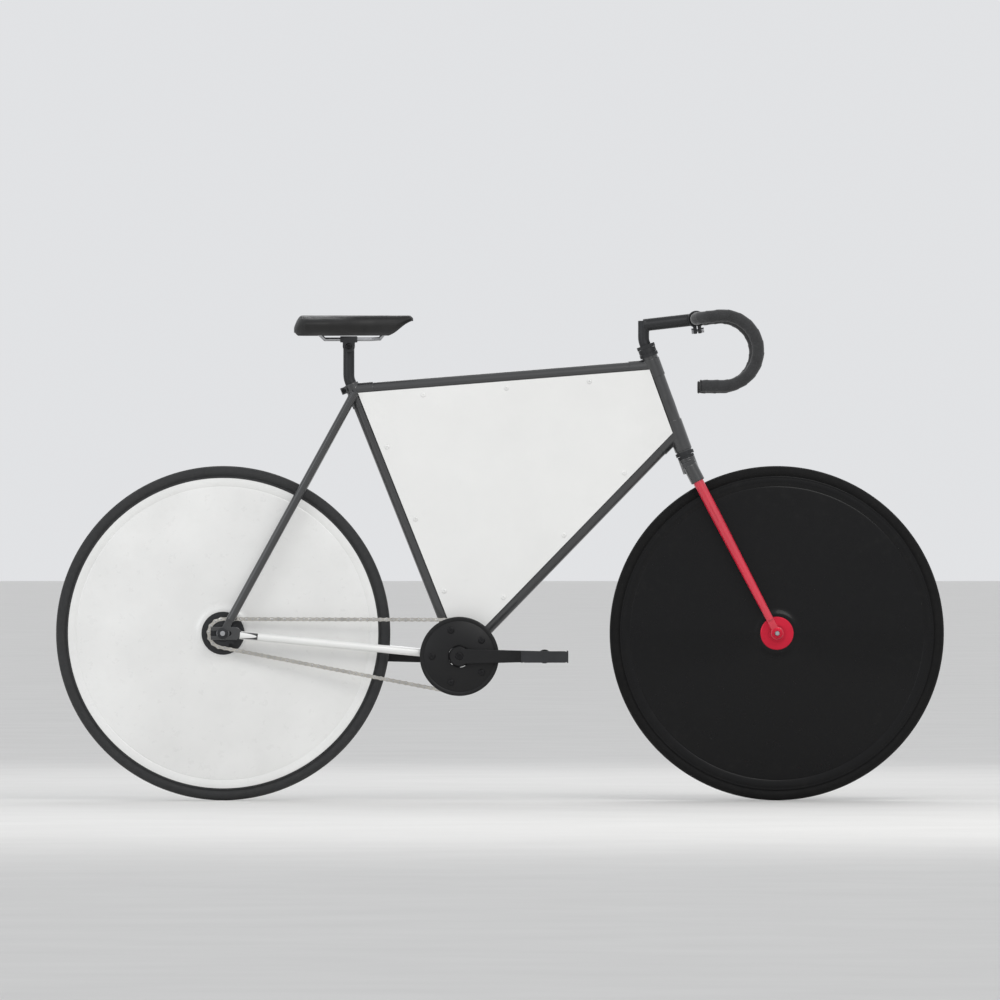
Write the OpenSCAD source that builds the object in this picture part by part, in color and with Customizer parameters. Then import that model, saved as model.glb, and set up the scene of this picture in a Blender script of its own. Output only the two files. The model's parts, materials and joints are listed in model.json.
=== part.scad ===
// Fixed-gear racing bicycle with drop handlebar, disc wheels and a panelled main frame.
// Millimetres. +X is forward, +Z is up, -Y is the drive side. The origin is on the
// ground, midway between the two wheels.

/* [Wheels] */
// Outside diameter of both tyres
wheel_d = 668; // [650:1:680]
// Distance between the front and rear axles
wheelbase = 1106; // [1096:1:1116]
// Width of the tyres
tyre_w = 23; // [20:1:25]
// Diameter of the dark flange at the middle of the rear disc
rear_flange_d = 86; // [70:1:90]
// Diameter of the red flange at the middle of the front disc
front_flange_d = 66; // [54:1:76]

/* [Frame] */
// Height of the crank axle above the ground
bb_height = 288; // [280:1:296]
// Distance from the crank axle to the seat cluster, along the seat tube
seat_tube_len = 572; // [560:1:580]
// Angle of the seat tube above the horizontal
seat_angle = 68.3; // [67.5:0.1:69]
// Backward lean of the steering axis
head_lean = 20; // [19:0.5:21]
// Distance ahead of the origin where the down tube meets the steering axis
head_x = 353.5; // [345:0.5:360]
// Height where the down tube meets the steering axis
head_z = 736; // [730:1:742]
// Distance between the top tube and down tube, along the steering axis
head_gap = 139.5; // [130:0.5:150]
// Diameter of the top tube
top_tube_d = 25.4; // [25.4:0.1:26]
// Diameter of the down tube
down_tube_d = 28.6; // [28:0.1:29]
// Thickness of each skin of the frame panel
panel_skin = 1.8; // [1.5:0.1:2.2]

/* [Fork and handlebar] */
// Diameter of each fork blade at the crown
blade_d = 21; // [19:0.5:22]
// Distance ahead of the origin to the middle of the handlebar clamp
clamp_x = 392; // [385:1:400]
// Upward slope of the stem and of the top of the handlebar
bar_rise = 6.5; // [5:0.5:8]
// Radius of each hook of the handlebar
hook_r = 70; // [66:1:72]
// Distance between the two ends of the handlebar
bar_width = 400; // [380:5:420]

/* [Drive] */
// Teeth on the chainring
ring_teeth = 36; // [36:1:36]
// Teeth on the rear sprocket
sprocket_teeth = 14; // [14:1:14]
// Links in the chain
chain_links = 100; // [100:1:100]
// Distance from the crank axle to a pedal axle
crank_len = 170; // [165:1:172]
// Diameter of the guard disc over the chainring
guard_d = 158; // [156:1:162]

/* [Saddle] */
// Height of the saddle's top above the ground
saddle_z = 969; // [965:1:975]
// Length of the saddle
saddle_len = 238; // [230:1:250]
// Width of the saddle at the rear
saddle_w = 140; // [130:1:150]

/* [Hidden] */
$fn = 48;

charcoal = [0.15, 0.16, 0.16];
black = [0.03, 0.03, 0.03];
white = [0.95, 0.95, 0.95];
red = [0.83, 0.11, 0.23];
silver = [0.75, 0.76, 0.78];

wheel_r = wheel_d / 2;
front_c = [wheelbase / 2, 0, wheel_r];
rear_c = [-wheelbase / 2, 0, wheel_r];

// Drive: the centre distance follows from a whole number of links.
link = 12.7;
ring_r = link / 2 / sin(180 / ring_teeth);
sprocket_r = link / 2 / sin(180 / sprocket_teeth);
wrap_lean = asin((ring_r - sprocket_r) / 474.1);
run_links = (chain_links - ring_teeth * (0.5 + wrap_lean / 180)
    - sprocket_teeth * (0.5 - wrap_lean / 180)) / 2;
run_len = run_links * link;
// A roller sits at the very front of the chainring, so the first roller past it is here.
ring_wrap = (90 + wrap_lean) * ring_teeth / 360;
run_first = ceil(ring_wrap) - ring_wrap;
chain_centres = norm([run_len, ring_r - sprocket_r]);
chain_line = -42;
chain_drop = rear_c[2] - bb_height;
bb = [rear_c[0] + sqrt(pow(chain_centres, 2) - pow(chain_drop, 2)), 0, bb_height];
chain_tilt = atan2(chain_drop, rear_c[0] - bb[0]);

// Frame directions and junctions.
seat_up = [-cos(seat_angle), 0, sin(seat_angle)];
head_up = [-sin(head_lean), 0, cos(head_lean)];
seat_joint = bb + seat_tube_len * seat_up;
down_joint = [head_x, 0, head_z];
top_joint = down_joint + head_gap * head_up;
seat_tube_r = 13;
seat_bore_r = 11.15;
post_r = 11.1;
top_tube_r = top_tube_d / 2;
down_tube_r = down_tube_d / 2;
head_tube_r = 16;
head_bore_r = 15.1;
lug_wall = 1.6;
tube_wall = 1;
shell_r = 19.5;
shell_w = 68;
stay_r = 8;
seat_stay_r = 8.5;
seat_lug_top = 14;
head_low_end = down_joint - 42 * head_up;
head_top_end = top_joint + 21 * head_up;
dropout_in = 60;
dropout_t = 5;

// Steering.
steerer_r = 12.7;
steerer_bore_r = 11.15;
quill_r = 11.1;
fork_in = 50;
fork_end_t = 5;
crown_seat = head_low_end - 13 * head_up;
crown_h = 30;
blade_r = blade_d / 2;
blade_tip_r = 7.5;
blade_top_y = 35;
blade_end_gap = 30;
fork_tip = front_c + [0, fork_in + fork_end_t / 2, 0];
fork_root = crown_seat - 22 * head_up + [2, blade_top_y, 0];
fork_dir = unit(fork_tip - fork_root);
fork_bend = fork_root + 120 * fork_dir;
locknut_top = head_top_end + 24 * head_up;

// Handlebar.
bar_r = 11.1;
sleeve_r = 12.7;
tape_r = 12.7;
bar_bore_r = 9.5;
// A bent stretch of tube is drawn this much thinner than a straight one.
draw = 0.1;
corner_r = 41;
hook_x = corner_r + 2;
bar_end_len = 42.6;
hook_turn = 180 + bar_rise;
clamp_z = 961.2;
clamp = [clamp_x, 0, clamp_z];
neck_bend_r = 30;

// Crank side view and saddle.
crank_in = 52;
crank_t = 12;
pedal_w = 88;
rail_r = 3.5;
rail_y = 21.5;
tilt_z = 907;
rail_z = 921;

function unit(v) = v / norm(v);
function flat(p) = [p[0], p[2]];

// A solid cylinder from p to q.
module rod(p, q, r) {
    v = q - p;
    translate(p)
        rotate([0, acos(v[2] / norm(v)), atan2(v[1], v[0])])
            cylinder(r = r, h = norm(v));
}

// A cone from p, radius r1, to q, radius r2.
module taper(p, q, r1, r2) {
    v = q - p;
    translate(p)
        rotate([0, acos(v[2] / norm(v)), atan2(v[1], v[0])])
            cylinder(r1 = r1, r2 = r2, h = norm(v));
}

// An open tube from p to q.
module pipe(p, q, r, bore) {
    u = unit(q - p);
    difference() {
        rod(p, q, r);
        rod(p - u, q + u, bore);
    }
}

// A disc or sleeve about the Y axis at p, from y0 to y1.
module barrel(p, y0, y1, r) {
    translate([p[0], p[1] + y0, p[2]])
        rotate([-90, 0, 0])
            cylinder(r = r, h = y1 - y0);
}

// Extrudes an outline drawn in side view, X forward and Y up, between y0 and y1.
module side(y0, y1) {
    translate([0, y1, 0])
        rotate([90, 0, 0])
            linear_extrude(height = y1 - y0)
                children();
}

// Turns a profile, drawn as radius and +Y distance, about the wheel axle at p.
module turned(p) {
    translate(p)
        rotate([-90, 0, 0])
            rotate_extrude($fn = 96)
                children();
}

module both_sides() {
    children();
    mirror([0, 1, 0]) children();
}

// Stands children's Z axis along the steering axis at p.
module on_head(p) {
    translate(p) rotate([0, -head_lean, 0]) children();
}

// ---- Frame ----

module seat_tube_solid(r) { rod(bb, seat_joint + seat_lug_top * seat_up, r); }
module top_tube_solid(r) { rod(seat_joint, top_joint, r); }
module down_tube_solid(r) { rod(bb, down_joint, r); }
module head_tube_solid(r) { rod(head_low_end, head_top_end, r); }

module head_tube() {
    color(charcoal) pipe(head_low_end, head_top_end, head_tube_r, head_bore_r);
}

module top_tube() {
    color(charcoal) difference() {
        pipe(seat_joint, top_joint, top_tube_r, top_tube_r - tube_wall);
        seat_tube_solid(seat_tube_r);
        head_tube_solid(head_tube_r);
    }
}

module down_tube() {
    color(charcoal) difference() {
        pipe(bb, down_joint, down_tube_r, down_tube_r - tube_wall);
        barrel(bb, -shell_w, shell_w, shell_r);
        seat_tube_solid(seat_tube_r);
        head_tube_solid(head_tube_r);
    }
}

module binder_slit() {
    translate(seat_joint + seat_lug_top * seat_up)
        rotate([0, seat_angle - 90, 0])
            translate([-40, -1, -32]) cube([40, 2, 33]);
}

module seat_tube() {
    color(charcoal) difference() {
        seat_tube_solid(seat_tube_r);
        rod(bb, seat_joint + (seat_lug_top + 1) * seat_up, seat_bore_r);
        barrel(bb, -shell_w, shell_w, shell_r);
        binder_slit();
    }
}

module bottom_bracket_shell() {
    color(charcoal) difference() {
        barrel(bb, -shell_w / 2, shell_w / 2, shell_r);
        barrel(bb, -shell_w, shell_w, 17.2);
    }
}

// A lug: a sleeve on the main tube with a socket for each tube that joins it.
module head_lug(joint, low, high, toward, tube_r) {
    u = unit(toward - joint);
    difference() {
        union() {
            rod(joint - low * head_up, joint + high * head_up, head_tube_r + lug_wall);
            rod(joint, joint + 48 * u, tube_r + lug_wall);
        }
        head_tube_solid(head_tube_r);
        rod(joint, joint + 60 * u, tube_r);
    }
}

module seat_lug() {
    u = unit(top_joint - seat_joint);
    difference() {
        union() {
            rod(seat_joint - 36 * seat_up, seat_joint + seat_lug_top * seat_up,
                seat_tube_r + lug_wall);
            rod(seat_joint, seat_joint + 40 * u, top_tube_r + lug_wall);
            translate(seat_joint + seat_lug_top * seat_up)
                rotate([0, seat_angle - 90, 0])
                    translate([-24, -9, -15]) cube([16, 18, 14]);
        }
        rod(seat_joint - 40 * seat_up, seat_joint + 20 * seat_up, seat_tube_r);
        rod(seat_joint, seat_joint + 50 * u, top_tube_r);
        binder_slit();
        binder_bolt_axis(3.1, 20);
    }
}

module binder_bolt_axis(r, half) {
    translate(seat_joint + seat_lug_top * seat_up)
        rotate([0, seat_angle - 90, 0])
            barrel([-19, 0, -8], -half, half, r);
}

module frame_lugs() {
    color(charcoal) {
        head_lug(top_joint, 22, 15, seat_joint, top_tube_r);
        head_lug(down_joint, 39, 24, bb, down_tube_r);
        seat_lug();
    }
}

module seat_binder_bolt() {
    color(silver) {
        binder_bolt_axis(3, 12.5);
        difference() {
            binder_bolt_axis(5, 13.5);
            binder_bolt_axis(6, 9);
        }
    }
}

// Side view of one track end: a slotted plate with a tab for each stay.
module dropout_outline() {
    stay_u = unit(seat_joint - rear_c);
    chain_u = unit(bb - rear_c);
    difference() {
        translate([rear_c[0], rear_c[2]]) {
            translate([-24, -13]) square([48, 26]);
            translate([24, 0]) circle(r = 13);
            rotate(atan2(stay_u[2], stay_u[0])) translate([0, -7]) square([58, 14]);
            rotate(atan2(chain_u[2], chain_u[0])) translate([0, -6.4]) square([70, 12.8]);
        }
        translate([rear_c[0], rear_c[2]]) {
            circle(r = 5.1);
            translate([12, 0]) circle(r = 5.1);
            translate([-40, -5.1]) square([52, 10.2]);
        }
    }
}

module rear_dropouts() {
    color(charcoal) both_sides()
        side(dropout_in, dropout_in + dropout_t) dropout_outline();
}

module stay_pair(top, near_axle, top_y, r) {
    tip = rear_c + [0, dropout_in + dropout_t / 2, 0];
    root = top + [0, top_y, 0];
    u = unit(root - tip);
    both_sides() difference() {
        rod(tip + near_axle * u, root, r);
        rod(tip + (near_axle - 1) * u, root + u, r - tube_wall);
        side(dropout_in, dropout_in + dropout_t) dropout_outline();
        children();
    }
}

module chain_stays() {
    color(white) {
        stay_pair(bb, 34, 24, stay_r) barrel(bb, -shell_w, shell_w, shell_r);
        bridge(bb, 24, 0.8, stay_r);
    }
}

module seat_stays() {
    color(charcoal) {
        stay_pair(seat_joint - 6 * seat_up, 30, 19, seat_stay_r)
            rod(seat_joint - 40 * seat_up, seat_joint + 20 * seat_up,
                seat_tube_r + lug_wall);
        bridge(seat_joint - 6 * seat_up, 19, 0.68, seat_stay_r);
    }
}

// A cross tube between the two stays of a pair, at a share of the way up from the axle.
module bridge(top, top_y, share, r) {
    tip = rear_c + [0, dropout_in + dropout_t / 2, 0];
    root = top + [0, top_y, 0];
    u = unit(root - tip);
    mid = tip + share * (root - tip);
    difference() {
        pipe([mid[0], -mid[1], mid[2]], mid, 6, 5);
        both_sides() rod(tip, root + 20 * u, r);
    }
}

// Where the lines at inset d1 from line a-b and d2 from line b-c cross, in side view.
function inward(a, b) = let (u = unit(b - a)) [u[1], -u[0]];
function inset_corner(a, b, c, d1, d2) =
    let (n1 = inward(a, b), n2 = inward(b, c), k = n1 * n2)
    b + ((d1 - d2 * k) * n1 + (d2 - d1 * k) * n2) / (1 - k * k);

panel_corners = [flat(bb), flat(seat_joint), flat(top_joint), flat(down_joint)];
panel_insets = [6, 6.3, 9, 4.7];

// The frame panel's outline, clockwise from the crank axle, shrunk by a further d.
function panel_points(d) = [for (i = [0:3])
    inset_corner(panel_corners[(i + 3) % 4], panel_corners[i], panel_corners[(i + 1) % 4],
        panel_insets[(i + 3) % 4] + d, panel_insets[i] + d)];

panel_y = 18;
screw_places = [
    for (share = [0.2, 0.5, 0.8]) for (edge = [0, 1, 3])
        let (p = panel_points(14)) p[edge] + share * (p[(edge + 1) % 4] - p[edge])
];

module panel_side() {
    difference() {
        union() {
            side(panel_y - panel_skin, panel_y) polygon(panel_points(0));
            side(10, panel_y - panel_skin / 2) difference() {
                polygon(panel_points(0));
                polygon(panel_points(2));
            }
        }
        barrel(bb, 0, 30, 34);
        top_tube_solid(top_tube_r);
        seat_tube_solid(seat_tube_r);
        down_tube_solid(down_tube_r);
        head_lug_space(top_joint, seat_joint, top_tube_r);
        head_lug_space(down_joint, bb, down_tube_r);
        head_lug_space(seat_joint, top_joint, top_tube_r);
        rod(seat_joint - 36 * seat_up, seat_joint, seat_tube_r + lug_wall);
        seat_stay_line(seat_stay_r + 0.8, 1);
        for (p = screw_places) barrel([p[0], 0, p[1]], 0, 30, 3);
    }
}

// The upper part of the left seat stay as a solid of radius r, over past its top end.
module seat_stay_line(r, over) {
    tip = rear_c + [0, dropout_in + dropout_t / 2, 0];
    root = seat_joint - 6 * seat_up + [0, 19, 0];
    rod(tip + 400 * unit(root - tip), root + over * unit(root - tip), r);
}

module head_lug_space(joint, toward, tube_r) {
    u = unit(toward - joint);
    rod(joint, joint + 48 * u, tube_r + lug_wall);
    rod(down_joint - 39 * head_up, top_joint, head_tube_r + lug_wall);
}

module frame_panel_left() { color(white) panel_side(); }
module frame_panel_right() { color(white) mirror([0, 1, 0]) panel_side(); }

module panel_screws() {
    color(silver) for (p = screw_places) {
        barrel([p[0], 0, p[1]], -panel_y, panel_y, 3);
        barrel([p[0], 0, p[1]], -panel_y + panel_skin, panel_y - panel_skin, 4.5);
        barrel([p[0], 0, p[1]], panel_y, panel_y + 1.6, 5);
        barrel([p[0], 0, p[1]], -panel_y - 1.6, -panel_y, 5);
    }
}

module cup() {
    difference() {
        union() {
            cylinder(r = 18.6, h = 7);
            translate([0, 0, -8]) cylinder(r = head_bore_r, h = 8.5);
        }
        translate([0, 0, -9]) cylinder(r = 13.4, h = 17);
        translate([0, 0, 2.6]) cylinder(r = 17.4, h = 5);
    }
}

module headset_cups() {
    color(silver) {
        on_head(head_top_end) cup();
        on_head(head_low_end) rotate([180, 0, 0]) cup();
    }
}

module bottom_bracket_cups() {
    color(silver) both_sides() difference() {
        union() {
            barrel(bb, 16, shell_w / 2, 17.2);
            barrel(bb, shell_w / 2, shell_w / 2 + 3, 20.5);
        }
        barrel(bb, 10, 40, 10);
        barrel(bb, 20, 34, 14);
    }
}

module ring_bearing(p, y0, y1, r, bore) {
    difference() {
        barrel(p, y0, y1, r);
        barrel(p, y0 - 1, y1 + 1, bore);
    }
}

module bottom_bracket_bearings() {
    color(silver) both_sides() ring_bearing(bb, 22, 31, 14, 8.55);
}

module rear_axle() { color(silver) relieved_axle(rear_c, 74.6, 84, 5); }

module axle_nut(p, y0, r) {
    color(silver) difference() {
        union() {
            barrel(p, y0, y0 + 1.5, 11);
            translate([p[0], y0 + 1.5, p[2]]) rotate([-90, 0, 0])
                cylinder(r = 8.66, h = 8, $fn = 6);
        }
        barrel(p, y0 - 1, y0 + 12, r);
    }
}

module rear_axle_hardware() {
    both_sides() {
        axle_nut(rear_c, dropout_in + dropout_t, 5);
        color(silver) ring_bearing(rear_c, 47, dropout_in, 9, 5);
    }
}

// Points round an arc in side view.
function chain_arc(c, r, from, to, steps) = [for (i = [0:steps])
    let (a = from + (to - from) * i / steps) [c[0] + r * cos(a), c[2] + r * sin(a)]];
module chain_outline(k) {
    top = chain_tilt - 90 + wrap_lean;
    low = chain_tilt + 90 - wrap_lean;
    polygon(concat(
        chain_arc(bb, ring_r + k, low - 360, top, 36),
        chain_arc(rear_c, sprocket_r + k, top, low, 18)));
}

module chain() {
    color(silver) {
        for (y = [chain_line - 2.75, chain_line + 1.65])
            side(y, y + 1.1) difference() {
                chain_outline(4.2);
                chain_outline(-4.2);
            }
        for (up = [-1, 1]) for (i = [3:run_links - 3])
            let (lean = up * (90 - wrap_lean),
                a = bb + ring_r * [cos(chain_tilt + lean), 0, sin(chain_tilt + lean)],
                b = rear_c + sprocket_r
                    * [cos(chain_tilt + lean), 0, sin(chain_tilt + lean)],
                p = a + (b - a) * (run_first + i) / run_links)
            barrel(p, chain_line - 1.7, chain_line + 1.7, 3.8);
    }
}

// ---- Seatpost and saddle ----

post_bend_r = 40;
post_bend = 90 - seat_angle;
post_bend_at = seat_joint + (seat_lug_top + 4) * seat_up;
post_above = post_bend_at + post_bend_r * [
    cos(post_bend) - 1, 0, sin(post_bend)];

// A bend of the given angle that starts at p heading along dir and curves forward.
module forward_bend(p, lean, bend_r, r) {
    translate(p)
        rotate([0, -lean, 0])
            translate([bend_r, 0, 0])
                rotate([90, 0, 0])
                    rotate([0, 0, 180 - lean])
                        rotate_extrude(angle = lean, $fn = 96)
                            translate([bend_r, 0]) circle(r = r, $fn = 48);
}

module seatpost() {
    color(silver) difference() {
        union() {
            rod(post_bend_at - 150 * seat_up, post_bend_at + seat_up, post_r);
            forward_bend(post_bend_at, post_bend, post_bend_r, post_r - draw);
            rod(post_above - [0, 0, 1], [post_above[0], 0, tilt_z - 4], post_r);
            barrel([post_above[0], 0, tilt_z], -15, 15, 12);
        }
        rod(post_bend_at - 151 * seat_up, post_bend_at - 10 * seat_up, post_r - 2);
        barrel([post_above[0], 0, tilt_z], -20, 20, 4.05);
    }
}

clamp_c = [post_above[0], 0, tilt_z];

module saddle_clamp() {
    color(charcoal) both_sides() difference() {
        union() {
            barrel(clamp_c, 15.4, 28, 12);
            translate([clamp_c[0] - 17, 15.4, rail_z - 6]) cube([34, 12.6, 12]);
            translate([clamp_c[0] - 12, 15.4, tilt_z]) cube([24, 12.6, rail_z - tilt_z]);
        }
        barrel(clamp_c, 10, 30, 4);
        rod([clamp_c[0] - 30, rail_y, rail_z], [clamp_c[0] + 30, rail_y, rail_z], rail_r);
    }
}

module saddle_clamp_bolt() {
    color(silver) {
        barrel(clamp_c, -28, 28, 4);
        barrel(clamp_c, 28, 33, 6.5);
        barrel(clamp_c, -33, -28, 6.5);
    }
}

saddle_x = -292.5;
saddle_back = saddle_x - saddle_len / 2;
saddle_nose = saddle_x + saddle_len / 2;

module saddle_rails() {
    x0 = clamp_c[0] - 48;
    x1 = clamp_c[0] + 44;
    color(silver) both_sides() {
        rod([x0, rail_y, rail_z], [x1, rail_y, rail_z], rail_r);
        translate([x0, rail_y, rail_z]) sphere(r = rail_r + 0.1);
        rod([x0, rail_y, rail_z], [x0 - 22, rail_y + 14, rail_z + 21], rail_r);
        translate([x1, rail_y, rail_z]) sphere(r = rail_r + 0.1);
        rod([x1, rail_y, rail_z], [x1 + 18, 7, rail_z + 1], rail_r);
        translate([x1 + 18, 7, rail_z + 1]) sphere(r = rail_r + 0.1);
        rod([x1 + 18, 7, rail_z + 1], [x1 + 34, 7, rail_z + 21], rail_r);
    }
}

// Half width of the saddle at a share of its length from the rear.
function saddle_half(s) = s < 0.1 ? saddle_w / 2 * (0.72 + 2.8 * s)
    : saddle_w / 2 * (0.245 + 0.755 / (1 + exp((s - 0.42) * 13)));

function saddle_outline(d) = let (n = 14) concat(
    [for (i = [0:n]) let (s = i / n)
        [saddle_back + d + s * (saddle_len - 2 * d), -saddle_half(s) + d]],
    [for (i = [0:n]) let (s = 1 - i / n)
        [saddle_back + d + s * (saddle_len - 2 * d), saddle_half(s) - d]]);

module saddle_cover() {
    color(black) difference() {
        hull() {
            translate([0, 0, saddle_z - 10]) linear_extrude(height = 10)
                polygon(saddle_outline(12));
            translate([0, 0, saddle_z - 26]) linear_extrude(height = 14)
                polygon(saddle_outline(0));
            translate([0, 0, saddle_z - 41]) linear_extrude(height = 2)
                polygon([for (p = saddle_outline(3))
                    [min(p[0], saddle_nose - 34), p[1]]]);
        }
        translate([0, 0, saddle_z - 60]) linear_extrude(height = 39)
            polygon([for (p = saddle_outline(6))
                [min(p[0], saddle_nose - 38), p[1]]]);
    }
}

module saddle_shell() {
    color(black) difference() {
        translate([0, 0, saddle_z - 27]) linear_extrude(height = 6)
            polygon([for (p = saddle_outline(6.4))
                [min(p[0], saddle_nose - 38.4), p[1]]]);
        saddle_rails();
    }
}

// ---- Fork ----

module steerer_tube() {
    color(charcoal) pipe(crown_seat - 20 * head_up, locknut_top - 1 * head_up,
        steerer_r, steerer_bore_r);
}

module fork_crown() {
    color(charcoal) difference() {
        union() {
            on_head(crown_seat) {
                translate([0, 0, -crown_h]) cylinder(r = 17, h = crown_h);
                translate([-14, -blade_top_y, -crown_h]) cube([28, 2 * blade_top_y, 22]);
            }
            both_sides() rod(fork_root - 6 * fork_dir, fork_root + 30 * fork_dir,
                blade_r + 3.5);
        }
        on_head(crown_seat) translate([0, 0, -20]) cylinder(r = steerer_r, h = 30);
        both_sides() rod(fork_root, fork_root + 50 * fork_dir, blade_r);
    }
}

module fork_end_outline() {
    u = flat(fork_dir);
    translate([front_c[0], front_c[2]]) difference() {
        union() {
            circle(r = 13);
            rotate(atan2(u[1], u[0]) + 180) translate([0, -7]) square([56, 14]);
        }
        circle(r = 4.6);
        rotate(-62) translate([0, -4.4]) square([20, 8.8]);
    }
}

module fork_ends() {
    color(red) both_sides() side(fork_in, fork_in + fork_end_t) fork_end_outline();
}

module fork_blades() {
    tip = fork_tip - blade_end_gap * fork_dir;
    color(red) both_sides() difference() {
        union() {
            rod(fork_root, fork_bend, blade_r);
            taper(fork_bend, tip, blade_r, blade_tip_r);
        }
        rod(fork_root - fork_dir, tip + fork_dir, blade_tip_r - 1.2);
        side(fork_in, fork_in + fork_end_t) fork_end_outline();
    }
}

module headset_races() {
    color(silver) {
        on_head(crown_seat) difference() {
            cylinder(r = 16.8, h = 5.2);
            translate([0, 0, -1]) cylinder(r = steerer_r, h = 10);
        }
        on_head(head_top_end) difference() {
            union() {
                translate([0, 0, 7.5]) cylinder(r = 17.6, h = 9);
                translate([0, 0, 7.2]) cylinder(r = 16.6, h = 2);
            }
            cylinder(r = steerer_r, h = 30);
        }
        on_head(head_top_end) difference() {
            translate([0, 0, 16.9]) cylinder(r = 18.4, h = 7.1, $fn = 6);
            cylinder(r = steerer_r, h = 30);
        }
    }
}

// A cage with its balls, z above the cup's face.
module ball_ring(z) {
    for (i = [0:17]) rotate(i * 20) translate([15.2, 0, z]) sphere(r = 1.9);
    translate([0, 0, z - 0.5]) difference() {
        cylinder(r = 15.7, h = 1);
        translate([0, 0, -1]) cylinder(r = 14.7, h = 3);
    }
}

module headset_bearings() {
    color(silver) {
        on_head(head_top_end) ball_ring(4.9);
        on_head(head_low_end) rotate([180, 0, 0]) ball_ring(5.2);
    }
}

// An axle threaded right through in life. The shallow groove at y1 is not a real feature: it sets
// the free end outside the nut apart, so that the end can be measured as a pin of its own.
module relieved_axle(p, y1, y2, r) {
    barrel(p, -y1, y1, r);
    barrel(p, -y1 - 1.4, y1 + 1.4, r - 0.5);
    both_sides() barrel(p, y1 + 1.4, y2, r);
}

module front_axle() { color(silver) relieved_axle(front_c, 64.6, 74, 4.5); }

module front_axle_hardware() {
    both_sides() {
        axle_nut(front_c, fork_in + fork_end_t, 4.5);
        color(silver) ring_bearing(front_c, 41, fork_in, 8, 4.5);
    }
}

// ---- Stem and handlebar ----

neck_bend_at = locknut_top + 5 * head_up;
neck_above = neck_bend_at + neck_bend_r * [cos(head_lean) - 1, 0, sin(head_lean)];
bar_dir = [cos(bar_rise), 0, sin(bar_rise)];
neck_top = [neck_above[0], 0,
    clamp_z - (clamp_x - neck_above[0]) * tan(bar_rise)];

module stem() {
    color(charcoal) difference() {
        union() {
            rod(neck_bend_at - 95 * head_up, neck_bend_at + head_up, quill_r);
            forward_bend(neck_bend_at, head_lean, neck_bend_r, quill_r - draw);
            rod(neck_above - [0, 0, 1], neck_top + [0, 0, 9], quill_r);
            rod(neck_top, clamp, 12.4);
            barrel(clamp, -19, 19, 17);
            translate(clamp) rotate([0, -bar_rise, 0])
                translate([-8, -13, -29]) cube([16, 26, 16]);
        }
        rod(neck_bend_at - 96 * head_up, neck_bend_at - 15 * head_up, quill_r - 2.6);
        barrel(clamp, -30, 30, sleeve_r + 0.05);
        translate(clamp) rotate([0, -bar_rise, 0]) {
            translate([-1, -20, -40]) cube([2, 40, 40]);
            translate([-20, 0, -23]) rotate([0, 90, 0]) cylinder(r = 3, h = 40);
        }
    }
}

module stem_expander() {
    base = neck_bend_at - 95 * head_up;
    color(silver) {
        rod(base - 18 * head_up, base, quill_r - 0.4);
        rod(base, neck_bend_at - 25 * head_up, 4);
        rod(neck_bend_at - 25 * head_up, neck_bend_at - 16 * head_up, 6.5);
    }
}

module stem_clamp_bolt() {
    color(silver) translate(clamp) rotate([0, -bar_rise, 0])
        translate([0, 0, -23]) rotate([0, 90, 0]) {
            translate([0, 0, -8]) cylinder(r = 3, h = 16);
            translate([0, 0, 8]) cylinder(r = 5, h = 5);
            translate([0, 0, -12]) cylinder(r = 5.5, h = 4, $fn = 6);
        }
}

// One tubular piece between radius bore and r: straight, or bent round an arc in the XY plane.
module tube_run(p, q, r, bore) {
    difference() {
        rod(p, q, r);
        rod(p - unit(q - p), q + unit(q - p), bore);
    }
}

module tube_arc(from, turn, bend_r, r, bore) {
    rotate([0, 0, from])
        rotate_extrude(angle = turn, $fn = 96)
            translate([bend_r, 0]) difference() {
                circle(r = r, $fn = 48);
                circle(r = bore, $fn = 48);
            }
}

// One side of the handlebar from the top's corner on, in the clamp's frame: round the
// corner, over the hook and back along the drop.
module bar_side(r, bore) {
    half = bar_width / 2;
    rotate([0, -bar_rise, 0]) {
        translate([corner_r, half - corner_r, 0])
            tube_arc(90, 90, corner_r, r - draw, bore - draw);
        tube_run([corner_r - 1, half, 0], [hook_x + 1, half, 0], r, bore);
        translate([hook_x, half, -hook_r])
            rotate([90, 0, 0])
                tube_arc(90 - hook_turn, hook_turn, hook_r, r - draw, bore - draw);
        translate([hook_x, half, -hook_r])
            rotate([0, hook_turn, 0])
                tube_run([-1, 0, hook_r], [bar_end_len, 0, hook_r], r, bore);
    }
}

module handlebar() {
    flat_y = bar_width / 2 - corner_r;
    color(silver) translate(clamp) {
        difference() {
            union() {
                barrel([0, 0, 0], -flat_y - 1, flat_y + 1, bar_r);
                barrel([0, 0, 0], -32, 32, sleeve_r);
            }
            barrel([0, 0, 0], -flat_y - 2, flat_y + 2, bar_bore_r);
        }
        both_sides() bar_side(bar_r, bar_bore_r);
    }
}

module bar_tape() {
    flat_y = bar_width / 2 - corner_r;
    color(charcoal) translate(clamp) both_sides() {
        tube_run([0, 60, 0], [0, flat_y + 1, 0], tape_r, bar_r);
        bar_side(tape_r, bar_r);
    }
}

module bar_end_plugs() {
    color(black) translate(clamp) both_sides()
        rotate([0, -bar_rise, 0])
            translate([hook_x, bar_width / 2, -hook_r])
                rotate([0, hook_turn, 0])
                    translate([bar_end_len, 0, hook_r]) rotate([0, 90, 0]) {
                        cylinder(r = 12.5, h = 3.5);
                        translate([0, 0, -14]) cylinder(r = bar_bore_r, h = 14);
                    }
}

// ---- Wheels ----

rim_r = wheel_r - 21;
rim_depth = 20;
tyre_c = wheel_r - tyre_w / 2;

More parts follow.
